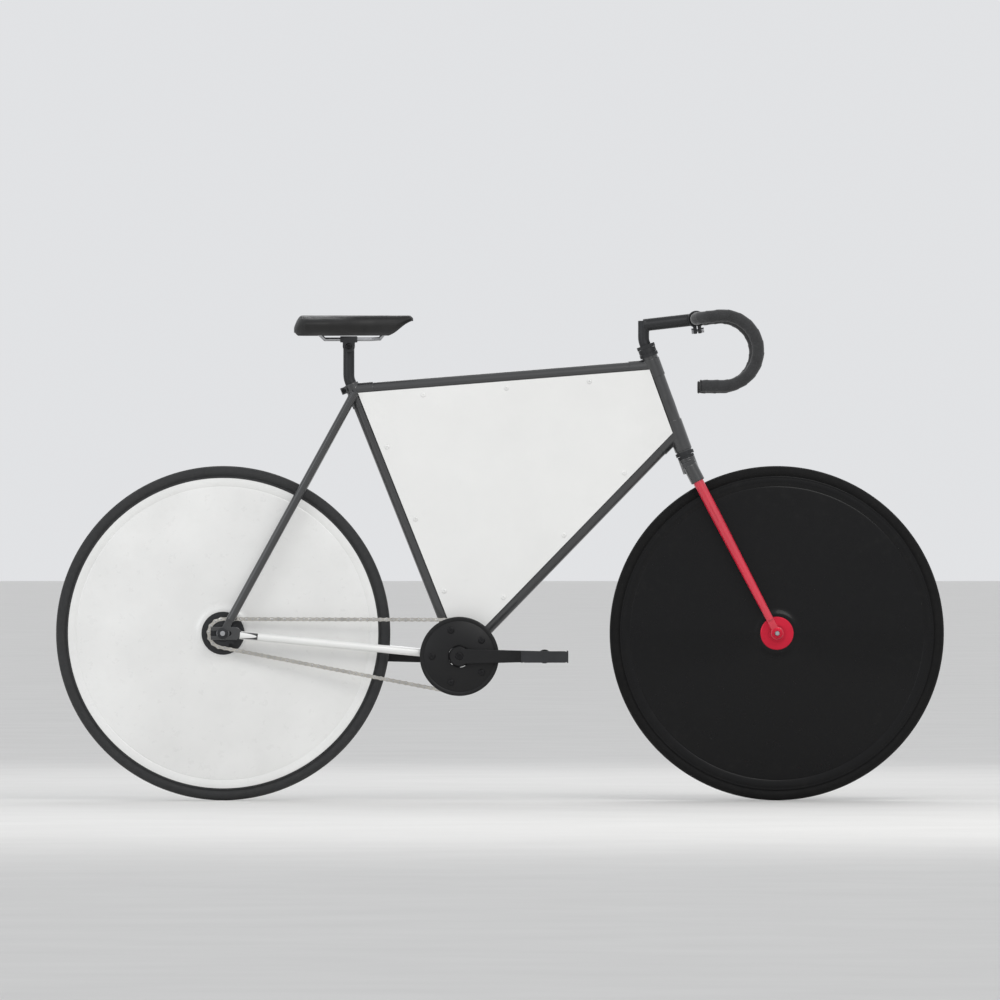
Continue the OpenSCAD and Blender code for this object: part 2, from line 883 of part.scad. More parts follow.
module tyre(p) {
    turned(p) difference() {
        union() {
            translate([tyre_c, 0]) circle(r = tyre_w / 2);
            translate([rim_r - 0.5, -8]) square([12, 16]);
        }
        translate([0, -30]) square([rim_r, 60]);
        translate([tyre_c, 0]) circle(r = tyre_w / 2 - 2.5);
    }
}

module rim(p) {
    turned(p) difference() {
        translate([rim_r - rim_depth, -9.5]) square([rim_depth, 19]);
        translate([rim_r - rim_depth + 1.5, -8]) square([rim_depth - 3, 16]);
    }
}

// One conical skin of a disc wheel, from the rim to the hub flange.
module skin(p, hub_r, hub_y) {
    turned(p) polygon([
        [hub_r, hub_y],
        [rim_r - rim_depth, 9.5], [rim_r - 2, 9.5], [rim_r - 2, 10.5],
        [rim_r - rim_depth - 1, 10.5], [hub_r, hub_y + 1.2]]);
}

module disc_pair(p, hub_r, hub_y) {
    both_sides() skin(p, hub_r, hub_y);
}

module front_tyre() { color(black) tyre(front_c); }
module rear_tyre() { color(black) tyre(rear_c); }
module front_rim() { color(black) rim(front_c); }
module rear_rim() { color(white) rim(rear_c); }
module front_disc() { color(black) disc_pair(front_c, front_flange_d / 2, 26); }
module rear_disc() { color(white) disc_pair(rear_c, rear_flange_d / 2, 23); }

// Hub shell: a barrel with two flanges that carry the disc skins and a bearing at each end.
module hub_shell(p, flange_r, flange_y, end_y, bearing_r, bore_r) {
    turned(p) polygon([
        [bearing_r, -end_y], [16.5, -end_y], [17.5, -end_y + 1], [17.5, -flange_y - 4.5],
        [flange_r - 1.5, -flange_y - 3], [flange_r, -flange_y - 2],
        [flange_r, -flange_y + 3], [15, -flange_y + 8],
        [15, flange_y - 8], [flange_r, flange_y - 3], [flange_r, flange_y + 2],
        [flange_r - 1.5, flange_y + 3], [17.5, flange_y + 4.5], [17.5, end_y - 1],
        [16.5, end_y], [bearing_r, end_y], [bearing_r, end_y - 10],
        [bore_r, end_y - 10], [bore_r, -end_y + 10], [bearing_r, -end_y + 10]]);
}

module front_hub() {
    color(red) hub_shell(front_c, front_flange_d / 2, 26, 40, 12, 8);
}

module front_hub_bearings() {
    color(silver) both_sides() ring_bearing(front_c, 31, 39, 12, 4.55);
}

module rear_hub() {
    color(charcoal) hub_shell(rear_c, rear_flange_d / 2, 23, 46, 13, 9);
}

module rear_hub_bearings() {
    color(silver) both_sides() ring_bearing(rear_c, 37, 45, 13, 5.05);
}

// ---- Drive ----

// Outline of a chain wheel: straight-sided teeth on the root circle.
function tooth_points(n, pitch_r, phase) = [for (i = [0:n - 1]) for (c = [
        [-0.30, -3.9], [-0.13, 1.0], [-0.05, 3.2], [0.05, 3.2], [0.13, 1.0], [0.30, -3.9]])
    let (a = phase + (i + c[0]) * 360 / n) (pitch_r + c[1]) * [cos(a), sin(a)]];

// A roller sits in the gap farthest from the other wheel, so teeth start half a pitch on.
ring_phase = chain_tilt + 180 + 180 / ring_teeth;
sprocket_phase = chain_tilt + 180 / sprocket_teeth;

module chain_wheel(p, n, pitch_r, phase, hole_r) {
    side(chain_line - 1.2, chain_line + 1.2)
        translate(flat(p)) difference() {
            polygon(tooth_points(n, pitch_r, phase));
            circle(r = hole_r);
        }
}

module sprocket() {
    color(charcoal)
        chain_wheel(rear_c, sprocket_teeth, sprocket_r, sprocket_phase, 17.5);
}

module sprocket_lockring() {
    color(silver) difference() {
        barrel(rear_c, chain_line - 3.2, chain_line - 1.2, 20.5);
        barrel(rear_c, chain_line - 6, chain_line, 17.5);
    }
}

module chainring() {
    color(black) difference() {
        chain_wheel(bb, ring_teeth, ring_r, ring_phase, 44);
        ring_bolt_holes(5);
    }
}

module ring_bolt_holes(r) {
    for (i = [0:4]) let (a = 36 + 72 * i)
        barrel(bb + 55 * [cos(a), 0, sin(a)], -60, -30, r);
}

module chainring_guard() {
    color(black) difference() {
        barrel(bb, -50, -47.5, guard_d / 2);
        barrel(bb, -60, -40, 22);
        ring_bolt_holes(5);
    }
}

module arm_outline(forward) {
    s = forward ? 1 : -1;
    circle(r = 19);
    translate([s * crank_len, 0]) circle(r = 14);
    polygon([[0, -15], [s * crank_len, -10.5], [s * crank_len, 10.5], [0, 15]]);
}

module square_hole(y0, y1) {
    translate(bb) rotate([0, 45, 0])
        translate([-6.5, y0, -6.5]) cube([13, y1 - y0, 13]);
}

module crank_right() {
    c = bb + [crank_len, 0, 0];
    color(black) difference() {
        union() {
            side(-crank_in - crank_t, -crank_in) translate(flat(bb)) arm_outline(true);
            barrel(bb, -crank_in - 0.5, -43.6, 21);
            side(-47.5, -43.2) translate(flat(bb)) for (i = [0:4])
                rotate(36 + 72 * i) {
                    translate([0, -8]) square([55, 16]);
                    translate([55, 0]) circle(r = 8);
                }
        }
        square_hole(-57, -40);
        barrel(bb, -70, -56, 7.5);
        barrel(c, -80, -40, 7);
        ring_bolt_holes(5);
    }
}

module crank_left() {
    c = bb - [crank_len, 0, 0];
    color(black) difference() {
        union() {
            side(crank_in, crank_in + crank_t) translate(flat(bb)) arm_outline(false);
            barrel(bb, 44, crank_in + 0.5, 17);
        }
        square_hole(40, 57);
        barrel(bb, 56, 70, 7.5);
        barrel(c, 40, 80, 7);
    }
}

module crank_spindle() {
    color(silver) {
        barrel(bb, -43, 43, 8.5);
        square_hole(-57, -42);
        square_hole(42, 57);
    }
}

// The threaded axle that carries a pedal at p, on the +Y side.
module pedal_axle(p) {
    barrel(p, crank_in, 78, 7);
    barrel(p, 78, 156, 5);
}

module pedal_axles() {
    color(silver) {
        pedal_axle(bb - [crank_len, 0, 0]);
        mirror([0, 1, 0]) pedal_axle(bb + [crank_len, 0, 0]);
    }
}

module crank_bolts() {
    color(silver) {
        for (i = [0:4]) let (a = 36 + 72 * i, p = bb + 55 * [cos(a), 0, sin(a)]) {
            barrel(p, -50, -40.8, 5);
            barrel(p, -52, -50, 7);
            barrel(p, -40.8, -39.6, 6.5);
        }
        barrel(bb, -63, -57, 7.5);
        barrel(bb, 57, 63, 7.5);
    }
}

// A cage pedal about the pedal axle at p, outboard of the crank arm on the +Y side.
module pedal(p) {
    y0 = 82;
    y1 = y0 + pedal_w;
    difference() {
        union() {
            barrel(p, y0, y1 - 12, 11);
            for (y = [y0 + 4, y1 - 18])
                translate([p[0] - 44, y, p[2] - 5]) cube([88, 8, 10]);
            for (s = [-1, 1])
                translate([p[0] + s * 45 - 2, y0, p[2] - 12]) cube([4, pedal_w, 24]);
            translate([p[0] - 45, y1 - 3, p[2] - 12]) cube([90, 3, 24]);
        }
        barrel(p, y0 - 5, y1 - 13, 5.05);
        for (s = [-1, 1]) translate([p[0] + s * 23, 0, p[2]])
            translate([-17, y0 + 14, -20]) cube([28, pedal_w - 34, 40]);
        for (s = [-1, 1]) for (k = [0:4])
            translate([p[0] + s * 45, y0 + 10 + 17 * k, p[2]])
                for (z = [-15, 15]) translate([-6, -5, z - 6]) cube([12, 10, 12]);
    }
}

module pedal_left() { color(black) pedal(bb - [crank_len, 0, 0]); }
module pedal_right() {
    color(black) mirror([0, 1, 0]) pedal(bb + [crank_len, 0, 0]);
}

head_tube();
top_tube();
down_tube();
seat_tube();
bottom_bracket_shell();
frame_lugs();
seat_binder_bolt();
chain_stays();
seat_stays();
rear_dropouts();
frame_panel_left();
frame_panel_right();
panel_screws();
headset_cups();
bottom_bracket_cups();
bottom_bracket_bearings();
rear_axle();
rear_axle_hardware();
chain();
seatpost();
saddle_clamp();
saddle_clamp_bolt();
saddle_rails();
saddle_shell();
saddle_cover();
steerer_tube();
fork_crown();
fork_blades();
fork_ends();
headset_races();
headset_bearings();
front_axle();
front_axle_hardware();
stem();
stem_expander();
stem_clamp_bolt();
handlebar();
bar_tape();
bar_end_plugs();
front_tyre();
front_rim();
front_disc();
front_hub();
front_hub_bearings();
rear_tyre();
rear_rim();
rear_disc();
rear_hub();
rear_hub_bearings();
sprocket();
sprocket_lockring();
crank_spindle();
crank_right();
crank_left();
chainring();
chainring_guard();
crank_bolts();
pedal_axles();
pedal_right();
pedal_left();
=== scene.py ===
import json
import math
import bpy
import bmesh
from mathutils import Matrix, Vector


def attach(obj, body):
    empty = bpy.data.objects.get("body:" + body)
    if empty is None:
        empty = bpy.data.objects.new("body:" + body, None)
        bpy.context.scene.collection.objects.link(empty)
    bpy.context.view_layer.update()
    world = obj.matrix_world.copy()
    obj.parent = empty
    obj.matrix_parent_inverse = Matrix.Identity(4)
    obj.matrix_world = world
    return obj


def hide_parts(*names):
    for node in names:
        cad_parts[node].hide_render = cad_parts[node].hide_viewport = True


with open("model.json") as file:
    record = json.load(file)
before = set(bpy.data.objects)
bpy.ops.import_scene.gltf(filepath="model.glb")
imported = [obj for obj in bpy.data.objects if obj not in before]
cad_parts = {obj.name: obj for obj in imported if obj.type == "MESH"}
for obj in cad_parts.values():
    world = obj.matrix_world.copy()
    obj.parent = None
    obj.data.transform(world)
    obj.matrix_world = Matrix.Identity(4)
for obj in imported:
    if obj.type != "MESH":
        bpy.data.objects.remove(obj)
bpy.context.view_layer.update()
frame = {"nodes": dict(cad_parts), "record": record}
NODES = frame["nodes"]
JOINTS = {j["name"]: j for j in frame["record"]["behaviour"]["joints"]}
TAU = 2 * math.pi


# ---------------------------------------------------------------- materials

class Shader:
    """A small builder for one node material on object coordinates."""

    def __init__(self, name, color, rough=0.4, metal=0.0, coat=0.0, coat_rough=0.05, ior=None):
        self.mat = bpy.data.materials.new(name)
        self.mat.use_nodes = True
        self.tree = self.mat.node_tree
        self.bsdf = self.tree.nodes["Principled BSDF"]
        self.color = color
        self.set("Base Color", (*color, 1))
        self.set("Roughness", rough)
        self.set("Metallic", metal)
        if coat:
            self.set("Coat Weight", coat)
            self.set("Coat Roughness", coat_rough)
        if ior:
            self.set("IOR", ior)
        self.mat.diffuse_color = (*color, 1)
        self.height = None
        coords = self.node("ShaderNodeTexCoord")
        self.obj = coords.outputs["Object"]

    def set(self, socket, value):
        self.bsdf.inputs[socket].default_value = value

    def node(self, kind, **values):
        n = self.tree.nodes.new(kind)
        for key, value in values.items():
            setattr(n, key, value)
        return n

    def link(self, a, b):
        self.tree.links.new(a, b)

    def math(self, op, a, b=0.0, c=0.0):
        n = self.node("ShaderNodeMath", operation=op)
        for socket, v in zip(n.inputs, (a, b, c)):
            if hasattr(v, "links"):
                self.link(v, socket)
            else:
                socket.default_value = v
        return n.outputs[0]

    def noise(self, scale, detail=3.0, rough=0.55, stretch=None):
        src = self.obj
        if stretch:
            mapping = self.node("ShaderNodeMapping")
            mapping.inputs["Scale"].default_value = stretch
            self.link(src, mapping.inputs["Vector"])
            src = mapping.outputs[0]
        n = self.node("ShaderNodeTexNoise")
        n.inputs["Scale"].default_value = scale
        n.inputs["Detail"].default_value = detail
        n.inputs["Roughness"].default_value = rough
        self.link(src, n.inputs["Vector"])
        return n.outputs["Fac"]

    def wave(self, direction, scale, distortion=0.0):
        n = self.node("ShaderNodeTexWave", bands_direction=direction, wave_profile="SIN")
        n.inputs["Scale"].default_value = scale
        n.inputs["Distortion"].default_value = distortion
        self.link(self.obj, n.inputs["Vector"])
        return n.outputs["Fac"]

    def ramp(self, fac, low, high, a, b):
        """fac from low to high becomes a to b: numbers, or colours."""
        if isinstance(a, (int, float)):
            n = self.node("ShaderNodeMapRange")
            for key, v in (("From Min", low), ("From Max", high), ("To Min", a), ("To Max", b)):
                n.inputs[key].default_value = v
            self.link(fac, n.inputs["Value"])
            return n.outputs[0]
        n = self.node("ShaderNodeValToRGB")
        n.color_ramp.elements[0].position = low
        n.color_ramp.elements[0].color = (*a, 1)
        n.color_ramp.elements[1].position = high
        n.color_ramp.elements[1].color = (*b, 1)
        self.link(fac, n.inputs["Fac"])
        return n.outputs["Color"]

    def mix(self, fac, a, b):
        n = self.node("ShaderNodeMix", data_type="RGBA")
        ins = [i for i in n.inputs if i.type == "RGBA"]
        if hasattr(fac, "links"):
            self.link(fac, n.inputs[0])
        else:
            n.inputs[0].default_value = fac
        for socket, v in zip(ins, (a, b)):
            if hasattr(v, "links"):
                self.link(v, socket)
            else:
                socket.default_value = (*v, 1)
        return [o for o in n.outputs if o.type == "RGBA"][0]

    def tint(self, out):
        self.link(out, self.bsdf.inputs["Base Color"])
        return self

    def roughness(self, out):
        self.link(out, self.bsdf.inputs["Roughness"])
        return self

    def bump(self, out, distance, strength=1.0):
        """Adds one bump layer over those already there. distance is in metres."""
        n = self.node("ShaderNodeBump")
        n.inputs["Strength"].default_value = strength
        n.inputs["Distance"].default_value = distance
        self.link(out, n.inputs["Height"])
        if self.height:
            self.link(self.height, n.inputs["Normal"])
        self.height = n.outputs["Normal"]
        self.link(self.height, self.bsdf.inputs["Normal"])
        return self


def shade(color, k):
    return tuple(min(1.0, c * k) for c in color)


CHARCOAL = (0.0242, 0.0250, 0.0262)
BLACK = (0.0052, 0.0052, 0.0056)
WHITE = (0.84, 0.84, 0.825)
RED = (0.640, 0.0105, 0.0400)


def enamel(name, color, dust=0.05, cloudy=0.10):
    """Sprayed enamel under lacquer: orange peel, faint dust, rubbed patches."""
    s = Shader(name, color, rough=0.34, coat=0.85, coat_rough=0.06)
    cloud = s.noise(9, 5)
    dirt = s.noise(34, 8, 0.7)
    base = s.ramp(cloud, 0.3, 0.7, shade(color, 1 - cloudy),
                  shade(color, 1 + cloudy))
    grime = s.ramp(dirt, 0.62, 0.80, 0.0, dust)
    s.tint(s.mix(grime, base, (0.33, 0.31, 0.28)))
    s.roughness(s.ramp(dirt, 0.35, 0.75, 0.28, 0.44))
    s.bump(s.noise(620, 2, 0.4), 0.00006, 0.35)
    s.bump(s.noise(1900, 1), 0.00002, 0.25)
    return s.mat


def metal(name, color, rough=0.28, brush=(1, 1, 1), scale=900, wear=0.08, metallic=1.0):
    """Turned or brushed metal: fine scratches along one way, stains, worn sheen."""
    s = Shader(name, color, rough=rough, metal=metallic)
    stain = s.noise(26, 6, 0.65)
    line = s.noise(scale, 2, 0.5, stretch=brush)
    s.tint(s.ramp(stain, 0.3, 0.75, shade(color, 1.08), shade(color, 1 - 2.6 * wear)))
    s.roughness(s.math("ADD", s.ramp(line, 0.3, 0.7, rough - 0.06, rough + 0.08),
                       s.ramp(stain, 0.4, 0.8, 0.0, wear)))
    s.bump(line, 0.00003, 0.4)
    s.bump(s.noise(240, 4), 0.00005, 0.12)
    return s.mat


def turned_about(s, centre):
    """(angle in turns, radius in metres) about a Y axis through centre."""
    split = s.node("ShaderNodeSeparateXYZ")
    s.link(s.obj, split.inputs[0])
    x = s.math("SUBTRACT", split.outputs["X"], centre[0])
    z = s.math("SUBTRACT", split.outputs["Z"], centre[2])
    radius = s.math("SQRT", s.math("ADD", s.math("MULTIPLY", x, x), s.math("MULTIPLY", z, z)))
    angle = s.math("DIVIDE", s.math("ARCTAN2", z, x), TAU)
    return angle, radius, x, z


def laminate(name, color, centre, weave=0.5, lift=1.25, coat=0.9, gloss=0.5,
             dusty=0.10):
    """A wheel disc: 2/2 twill cloth under lacquer, with rings left by the lathe."""
    s = Shader(name, color, rough=0.30, coat=coat, coat_rough=0.05)
    s.set("Specular IOR Level", gloss)
    angle, radius, x, z = turned_about(s, centre)
    pitch = 0.0021
    u = s.math("DIVIDE", x, pitch)
    v = s.math("DIVIDE", z, pitch)
    step = s.math("FLOOR", v)
    twill = s.math("FRACT", s.math("MULTIPLY", s.math("ADD", s.math("FLOOR", u), step), 0.25))
    over = s.math("LESS_THAN", twill, 0.49)
    warp = s.math("SINE", s.math("MULTIPLY", s.math("FRACT", u), math.pi))
    weft = s.math("SINE", s.math("MULTIPLY", s.math("FRACT", v), math.pi))
    cloth = s.math("ADD", s.math("MULTIPLY", over, warp),
                   s.math("MULTIPLY", s.math("SUBTRACT", 1.0, over), weft))
    cloud = s.noise(7, 5)
    dust = s.noise(48, 8, 0.7)
    base = s.ramp(cloud, 0.3, 0.7, shade(color, 0.94), shade(color, 1.05))
    cloth_tint = s.ramp(cloth, 0.1, 1.0, 0.0, weave)
    mixed = s.mix(cloth_tint, base, shade(color, lift))
    grime = s.math("MULTIPLY", s.ramp(dust, 0.55, 0.8, 0.0, dusty),
                   s.ramp(radius, 0.20, 0.30, 0.25, 1.0))
    s.tint(s.mix(grime, mixed, (0.30, 0.28, 0.25)))
    s.roughness(s.ramp(dust, 0.3, 0.8, 0.24, 0.42))
    s.bump(cloth, 0.00004, 0.35)
    rings = s.math("SINE", s.math("MULTIPLY", radius, TAU / 0.0016))
    s.bump(rings, 0.00001, 0.2)
    return s.mat


def rubber(name, color, centre, dirty=0.30, gloss=0.4):
    """Tyre rubber: file tread in the middle, fine cords on the sidewall, road dust."""
    s = Shader(name, color, rough=0.72)
    s.set("Specular IOR Level", gloss)
    angle, radius, x, z = turned_about(s, centre)
    split = s.node("ShaderNodeSeparateXYZ")
    s.link(s.obj, split.inputs[0])
    y = split.outputs["Y"]
    side = s.math("ABSOLUTE", y)
    middle = s.ramp(side, 0.0045, 0.0062, 1.0, 0.0)
    chevron = s.math("ADD", s.math("MULTIPLY", angle, 560.0), s.math("MULTIPLY", side, 210.0))
    file_cut = s.math("SINE", s.math("MULTIPLY", chevron, TAU))
    s.bump(s.math("MULTIPLY", file_cut, middle), 0.00022, 0.8)
    cords = s.math("ADD", s.math("MULTIPLY", angle, 1500.0), s.math("MULTIPLY", radius, 900.0))
    wall = s.math("SUBTRACT", 1.0, middle)
    s.bump(s.math("MULTIPLY", s.math("SINE", s.math("MULTIPLY", cords, TAU)), wall), 0.00005, 0.5)
    cloud = s.noise(30, 6, 0.6)
    base = s.ramp(cloud, 0.3, 0.75, shade(color, 0.8), shade(color, 1.35))
    dust = s.math("MULTIPLY", s.ramp(s.noise(90, 8, 0.7), 0.42, 0.7, 0.0, dirty),
                  s.ramp(side, 0.001, 0.009, 1.0, 0.2))
    s.tint(s.mix(dust, base, (0.16, 0.145, 0.125)))
    s.roughness(s.ramp(cloud, 0.3, 0.8, 0.62, 0.86))
    s.bump(s.noise(1400, 3), 0.00004, 0.35)
    return s.mat


def leather(name, color):
    """Fine grained leather, smoother and shinier where it is sat on."""
    s = Shader(name, color, rough=0.5)
    s.set("Specular IOR Level", 0.45)
    cells = s.node("ShaderNodeTexVoronoi", feature="DISTANCE_TO_EDGE")
    cells.inputs["Scale"].default_value = 620
    s.link(s.obj, cells.inputs["Vector"])
    crease = s.ramp(cells.outputs["Distance"], 0.0, 0.22, 0.0, 1.0)
    pore = s.noise(2100, 2)
    worn = s.noise(16, 4, 0.6)
    s.bump(crease, 0.00016, 0.55).bump(pore, 0.00004, 0.3)
    # Painted shade: the grain's creases, where the bump sinks, are coloured down to 0.45 of the
    # leather's colour.
    painted_crease_shade = s.mix(crease, shade(color, 0.45), color)
    s.tint(s.mix(s.ramp(worn, 0.45, 0.75, 0.0, 0.45), painted_crease_shade, shade(color, 2.4)))
    s.roughness(s.ramp(worn, 0.3, 0.75, 0.60, 0.36))
    return s.mat


def tape_cloth(name, color):
    """Cork and cloth handlebar tape: flecks, fine pores, and a soft dull surface."""
    s = Shader(name, color, rough=0.82)
    s.set("Sheen Weight", 0.25)
    s.set("Sheen Roughness", 0.5)
    fleck = s.noise(950, 2, 0.5)
    cloud = s.noise(38, 4)
    base = s.ramp(cloud, 0.3, 0.7, shade(color, 0.75), shade(color, 1.3))
    s.tint(s.mix(s.ramp(fleck, 0.60, 0.66, 0.0, 0.55), base, shade(color, 4.0)))
    s.roughness(s.ramp(fleck, 0.3, 0.7, 0.74, 0.92))
    s.bump(fleck, 0.00012, 0.6).bump(s.noise(300, 3), 0.00015, 0.35)
    return s.mat


def moulded(name, color, rough=0.5):
    """Moulded plastic: a fine spark-eroded texture, slight mottling, scuffs."""
    s = Shader(name, color, rough=rough)
    grain = s.noise(1500, 3, 0.6)
    scuff = s.noise(60, 7, 0.7)
    s.tint(s.ramp(scuff, 0.3, 0.8, shade(color, 0.85), shade(color, 1.8)))
    s.roughness(s.ramp(scuff, 0.4, 0.75, rough - 0.06, rough + 0.14))
    s.bump(grain, 0.00006, 0.5)
    return s.mat


def thread_material(name, color):
    s = Shader(name, color, rough=0.7)
    s.set("Sheen Weight", 0.4)
    twist = s.wave("DIAGONAL", 900, 0.4)
    # Painted shade and highlight: the colour follows the twist's relief, 0.6 of the thread's
    # colour in the grooves between the plies and 1.2 on their crowns.
    s.tint(s.ramp(twist, 0.2, 0.8, shade(color, 0.6), shade(color, 1.2)))
    s.bump(twist, 0.00008, 0.6)
    return s.mat


FRONT = JOINTS["front_wheel_spin"]["pos_m"]
REAR = JOINTS["rear_wheel_spin"]["pos_m"]
BB = JOINTS["crank_spin"]["pos_m"]

MATS = {
    "frame": enamel("charcoal_enamel", CHARCOAL, dust=0.10),
    "white": enamel("white_enamel", WHITE, dust=0.06, cloudy=0.02),
    "red": enamel("red_enamel", RED, dust=0.04),
    "red_alloy": metal("red_anodised", RED, 0.34, (1, 0.02, 1), wear=0.04, metallic=0.55),
    "panel": enamel("white_panel_gloss", WHITE, dust=0.05, cloudy=0.02),
    "white_disc": laminate("white_laminate", WHITE, REAR, weave=0.35, lift=0.93),
    "black_disc": laminate("black_laminate", (0.0035, 0.0035, 0.0038), FRONT, weave=0.7, lift=1.7,
                           coat=0.12, gloss=0.14, dusty=0.02),
    "dark_alloy": metal("charcoal_anodised", (0.038, 0.039, 0.041), 0.42, (1, 0.05, 1),
                        wear=0.05, metallic=0.7),
    "black_alloy": metal("black_anodised", (0.009, 0.009, 0.010), 0.40, (1, 0.05, 1),
                         wear=0.05, metallic=0.55),
    "steel": metal("zinc_steel", (0.46, 0.465, 0.48), 0.30, (0.04, 1, 0.04), wear=0.12),
    "nickel": metal("nickel_chain", (0.56, 0.54, 0.50), 0.26, (1, 1, 1), 500, wear=0.14),
    "dark_steel": metal("black_zinc", (0.050, 0.051, 0.054), 0.36, (0.04, 1, 0.04), wear=0.06,
                        metallic=0.85),
    "black_bolt": metal("black_oxide", (0.016, 0.016, 0.017), 0.34, (1, 1, 1), wear=0.05,
                        metallic=0.7),
    "guard": metal("black_anodised_satin", (0.0062, 0.0062, 0.0068), 0.42, (1, 0.05, 1),
                   wear=0.06, metallic=0.35),
    "screw_white": enamel("white_screw", WHITE, dust=0.16),
    "front_tyre": rubber("front_tyre_rubber", (0.0040, 0.0040, 0.0042), FRONT, 0.10, 0.2),
    "rear_tyre": rubber("rear_tyre_rubber", CHARCOAL, REAR),
    "leather": leather("saddle_leather", (0.0075, 0.0073, 0.0072)),
    "tape": tape_cloth("cork_tape", (0.0215, 0.0220, 0.0230)),
    "plastic": moulded("black_plastic", (0.0085, 0.0085, 0.0090)),
    "thread": thread_material("waxed_thread", (0.020, 0.020, 0.020)),
}

CAD_LOOK = {
    "frame": ["head_tube", "top_tube", "down_tube", "seat_tube", "bottom_bracket_shell",
              "frame_lugs", "seat_stays", "rear_dropouts", "steerer_tube", "fork_crown"],
    "white": ["chain_stays"],
    "panel": ["frame_panel_left", "frame_panel_right"],
    "white_disc": ["rear_disc", "rear_rim"],
    "black_disc": ["front_disc", "front_rim"],
    "red": ["fork_blades", "fork_ends"],
    "red_alloy": ["front_hub"],
    "black_alloy": ["crank_right", "crank_left", "chainring", "chainring_guard",
                    "pedal_right", "pedal_left"],
    "screw_white": ["panel_screws"],
    "steel": ["seat_binder_bolt", "bottom_bracket_bearings", "rear_axle",
              "rear_axle_hardware", "saddle_clamp_bolt", "saddle_rails", "headset_bearings",
              "front_axle", "front_axle_hardware", "stem_expander", "stem_clamp_bolt",
              "front_hub_bearings", "rear_hub_bearings", "crank_spindle", "crank_bolts",
              "pedal_axles"],
    "dark_steel": ["sprocket", "sprocket_lockring"],
    "nickel": ["chain"],
    "dark_alloy": ["rear_hub", "stem", "saddle_clamp", "seatpost", "handlebar",
                   "headset_cups", "headset_races", "bottom_bracket_cups"],
    "front_tyre": ["front_tyre"],
    "rear_tyre": ["rear_tyre"],
    "tape": ["bar_tape"],
    "plastic": ["bar_end_plugs", "saddle_shell"],
    "leather": ["saddle_cover"],
}
for look, names in CAD_LOOK.items():
    for name in names:
        obj = NODES[name]
        obj.data.materials.clear()
        obj.data.materials.append(MATS[look])


# ---------------------------------------------------------------- mesh helpers

def make(name, verts, faces, mat, smooth=True):
    """A mesh object from lists, in the row frame."""
    mesh = bpy.data.meshes.new(name)
    mesh.from_pydata([tuple(v) for v in verts], [], faces)
    mesh.materials.append(MATS[mat] if isinstance(mat, str) else mat)
    mesh.validate()
    bm = bmesh.new()
    bm.from_mesh(mesh)
    bmesh.ops.recalc_face_normals(bm, faces=bm.faces)
    bm.to_mesh(mesh)
    bm.free()
    for poly in mesh.polygons:
        poly.use_smooth = smooth
    obj = bpy.data.objects.new(name, mesh)
    bpy.context.scene.collection.objects.link(obj)
    if smooth:
        mesh.set_sharp_from_angle(angle=math.radians(38))
    return obj


def joined(name, parts, mat, smooth=True):
    """One object from many (verts, faces) lists."""
    verts = []
    faces = []
    for vs, fs in parts:
        k = len(verts)
        verts.extend(vs)
        faces.extend([tuple(i + k for i in f) for f in fs])
    return make(name, verts, faces, mat, smooth)


def turned(profile, centre, seg=192, closed=True, axis=(0, 1, 0)):
    """Verts and faces of a profile of (radius, distance along the axis) turned about centre."""
    axis = Vector(axis).normalized()
    a = axis.orthogonal().normalized()
    if abs(axis.y) > 0.99:
        a = Vector((1, 0, 0))
    b = axis.cross(a)
    centre = Vector(centre)
    verts = []
    n = len(profile)
    for i in range(seg):
        t = TAU * i / seg
        out = a * math.cos(t) + b * math.sin(t)
        for r, h in profile:
            verts.append(centre + out * r + axis * h)
    faces = []
    last = n if closed else n - 1
    for i in range(seg):
        j = (i + 1) % seg
        for k in range(last):
            m = (k + 1) % n
            faces.append((i * n + k, i * n + m, j * n + m, j * n + k))
    return verts, faces


def capped(profile, centre, seg=48, axis=(0, 1, 0)):
    """Like turned, for a profile that starts and ends on the axis."""
    inner = profile[1:-1]
    verts, faces = turned(inner, centre, seg, False, axis)
    n = len(inner)
    axis = Vector(axis).normalized()
    start = len(verts)
    verts.append(Vector(centre) + axis * profile[0][1])
    verts.append(Vector(centre) + axis * profile[-1][1])
    for i in range(seg):
        j = (i + 1) % seg
        faces.append((start, i * n, j * n))
        faces.append((start + 1, j * n + n - 1, i * n + n - 1))
    return verts, faces


def show(obj, body, slot, *replaced):
    """The last steps for each new piece: what it rides on and what it stands for. slot, its
    finish, is not used.
    """
    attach(obj, body)
    if replaced:
        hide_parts(*replaced)
    return obj


# ---------------------------------------------------------------- wheels

R = 0.334
TYRE_C = R - 0.0115
RIM_R = R - 0.021


def tyre_profile():
    """Outside of a 23 mm tyre from one bead round to the other, then back inside."""
    pts = []
    for i in range(33):
        a = math.radians(-128 + 256 * i / 32)
        lip = 0.0
        if abs(math.degrees(a)) < 24:
            lip = 0.0
        elif abs(math.degrees(a)) < 30:
            lip = -0.00018
        r = 0.0115 + lip
        pts.append((TYRE_C + r * math.cos(a), r * math.sin(a)))
    pts += [(RIM_R + 0.0005, 0.0088), (RIM_R - 0.0012, 0.0086), (RIM_R - 0.0012, -0.0086),
            (RIM_R + 0.0005, -0.0088)]
    return pts


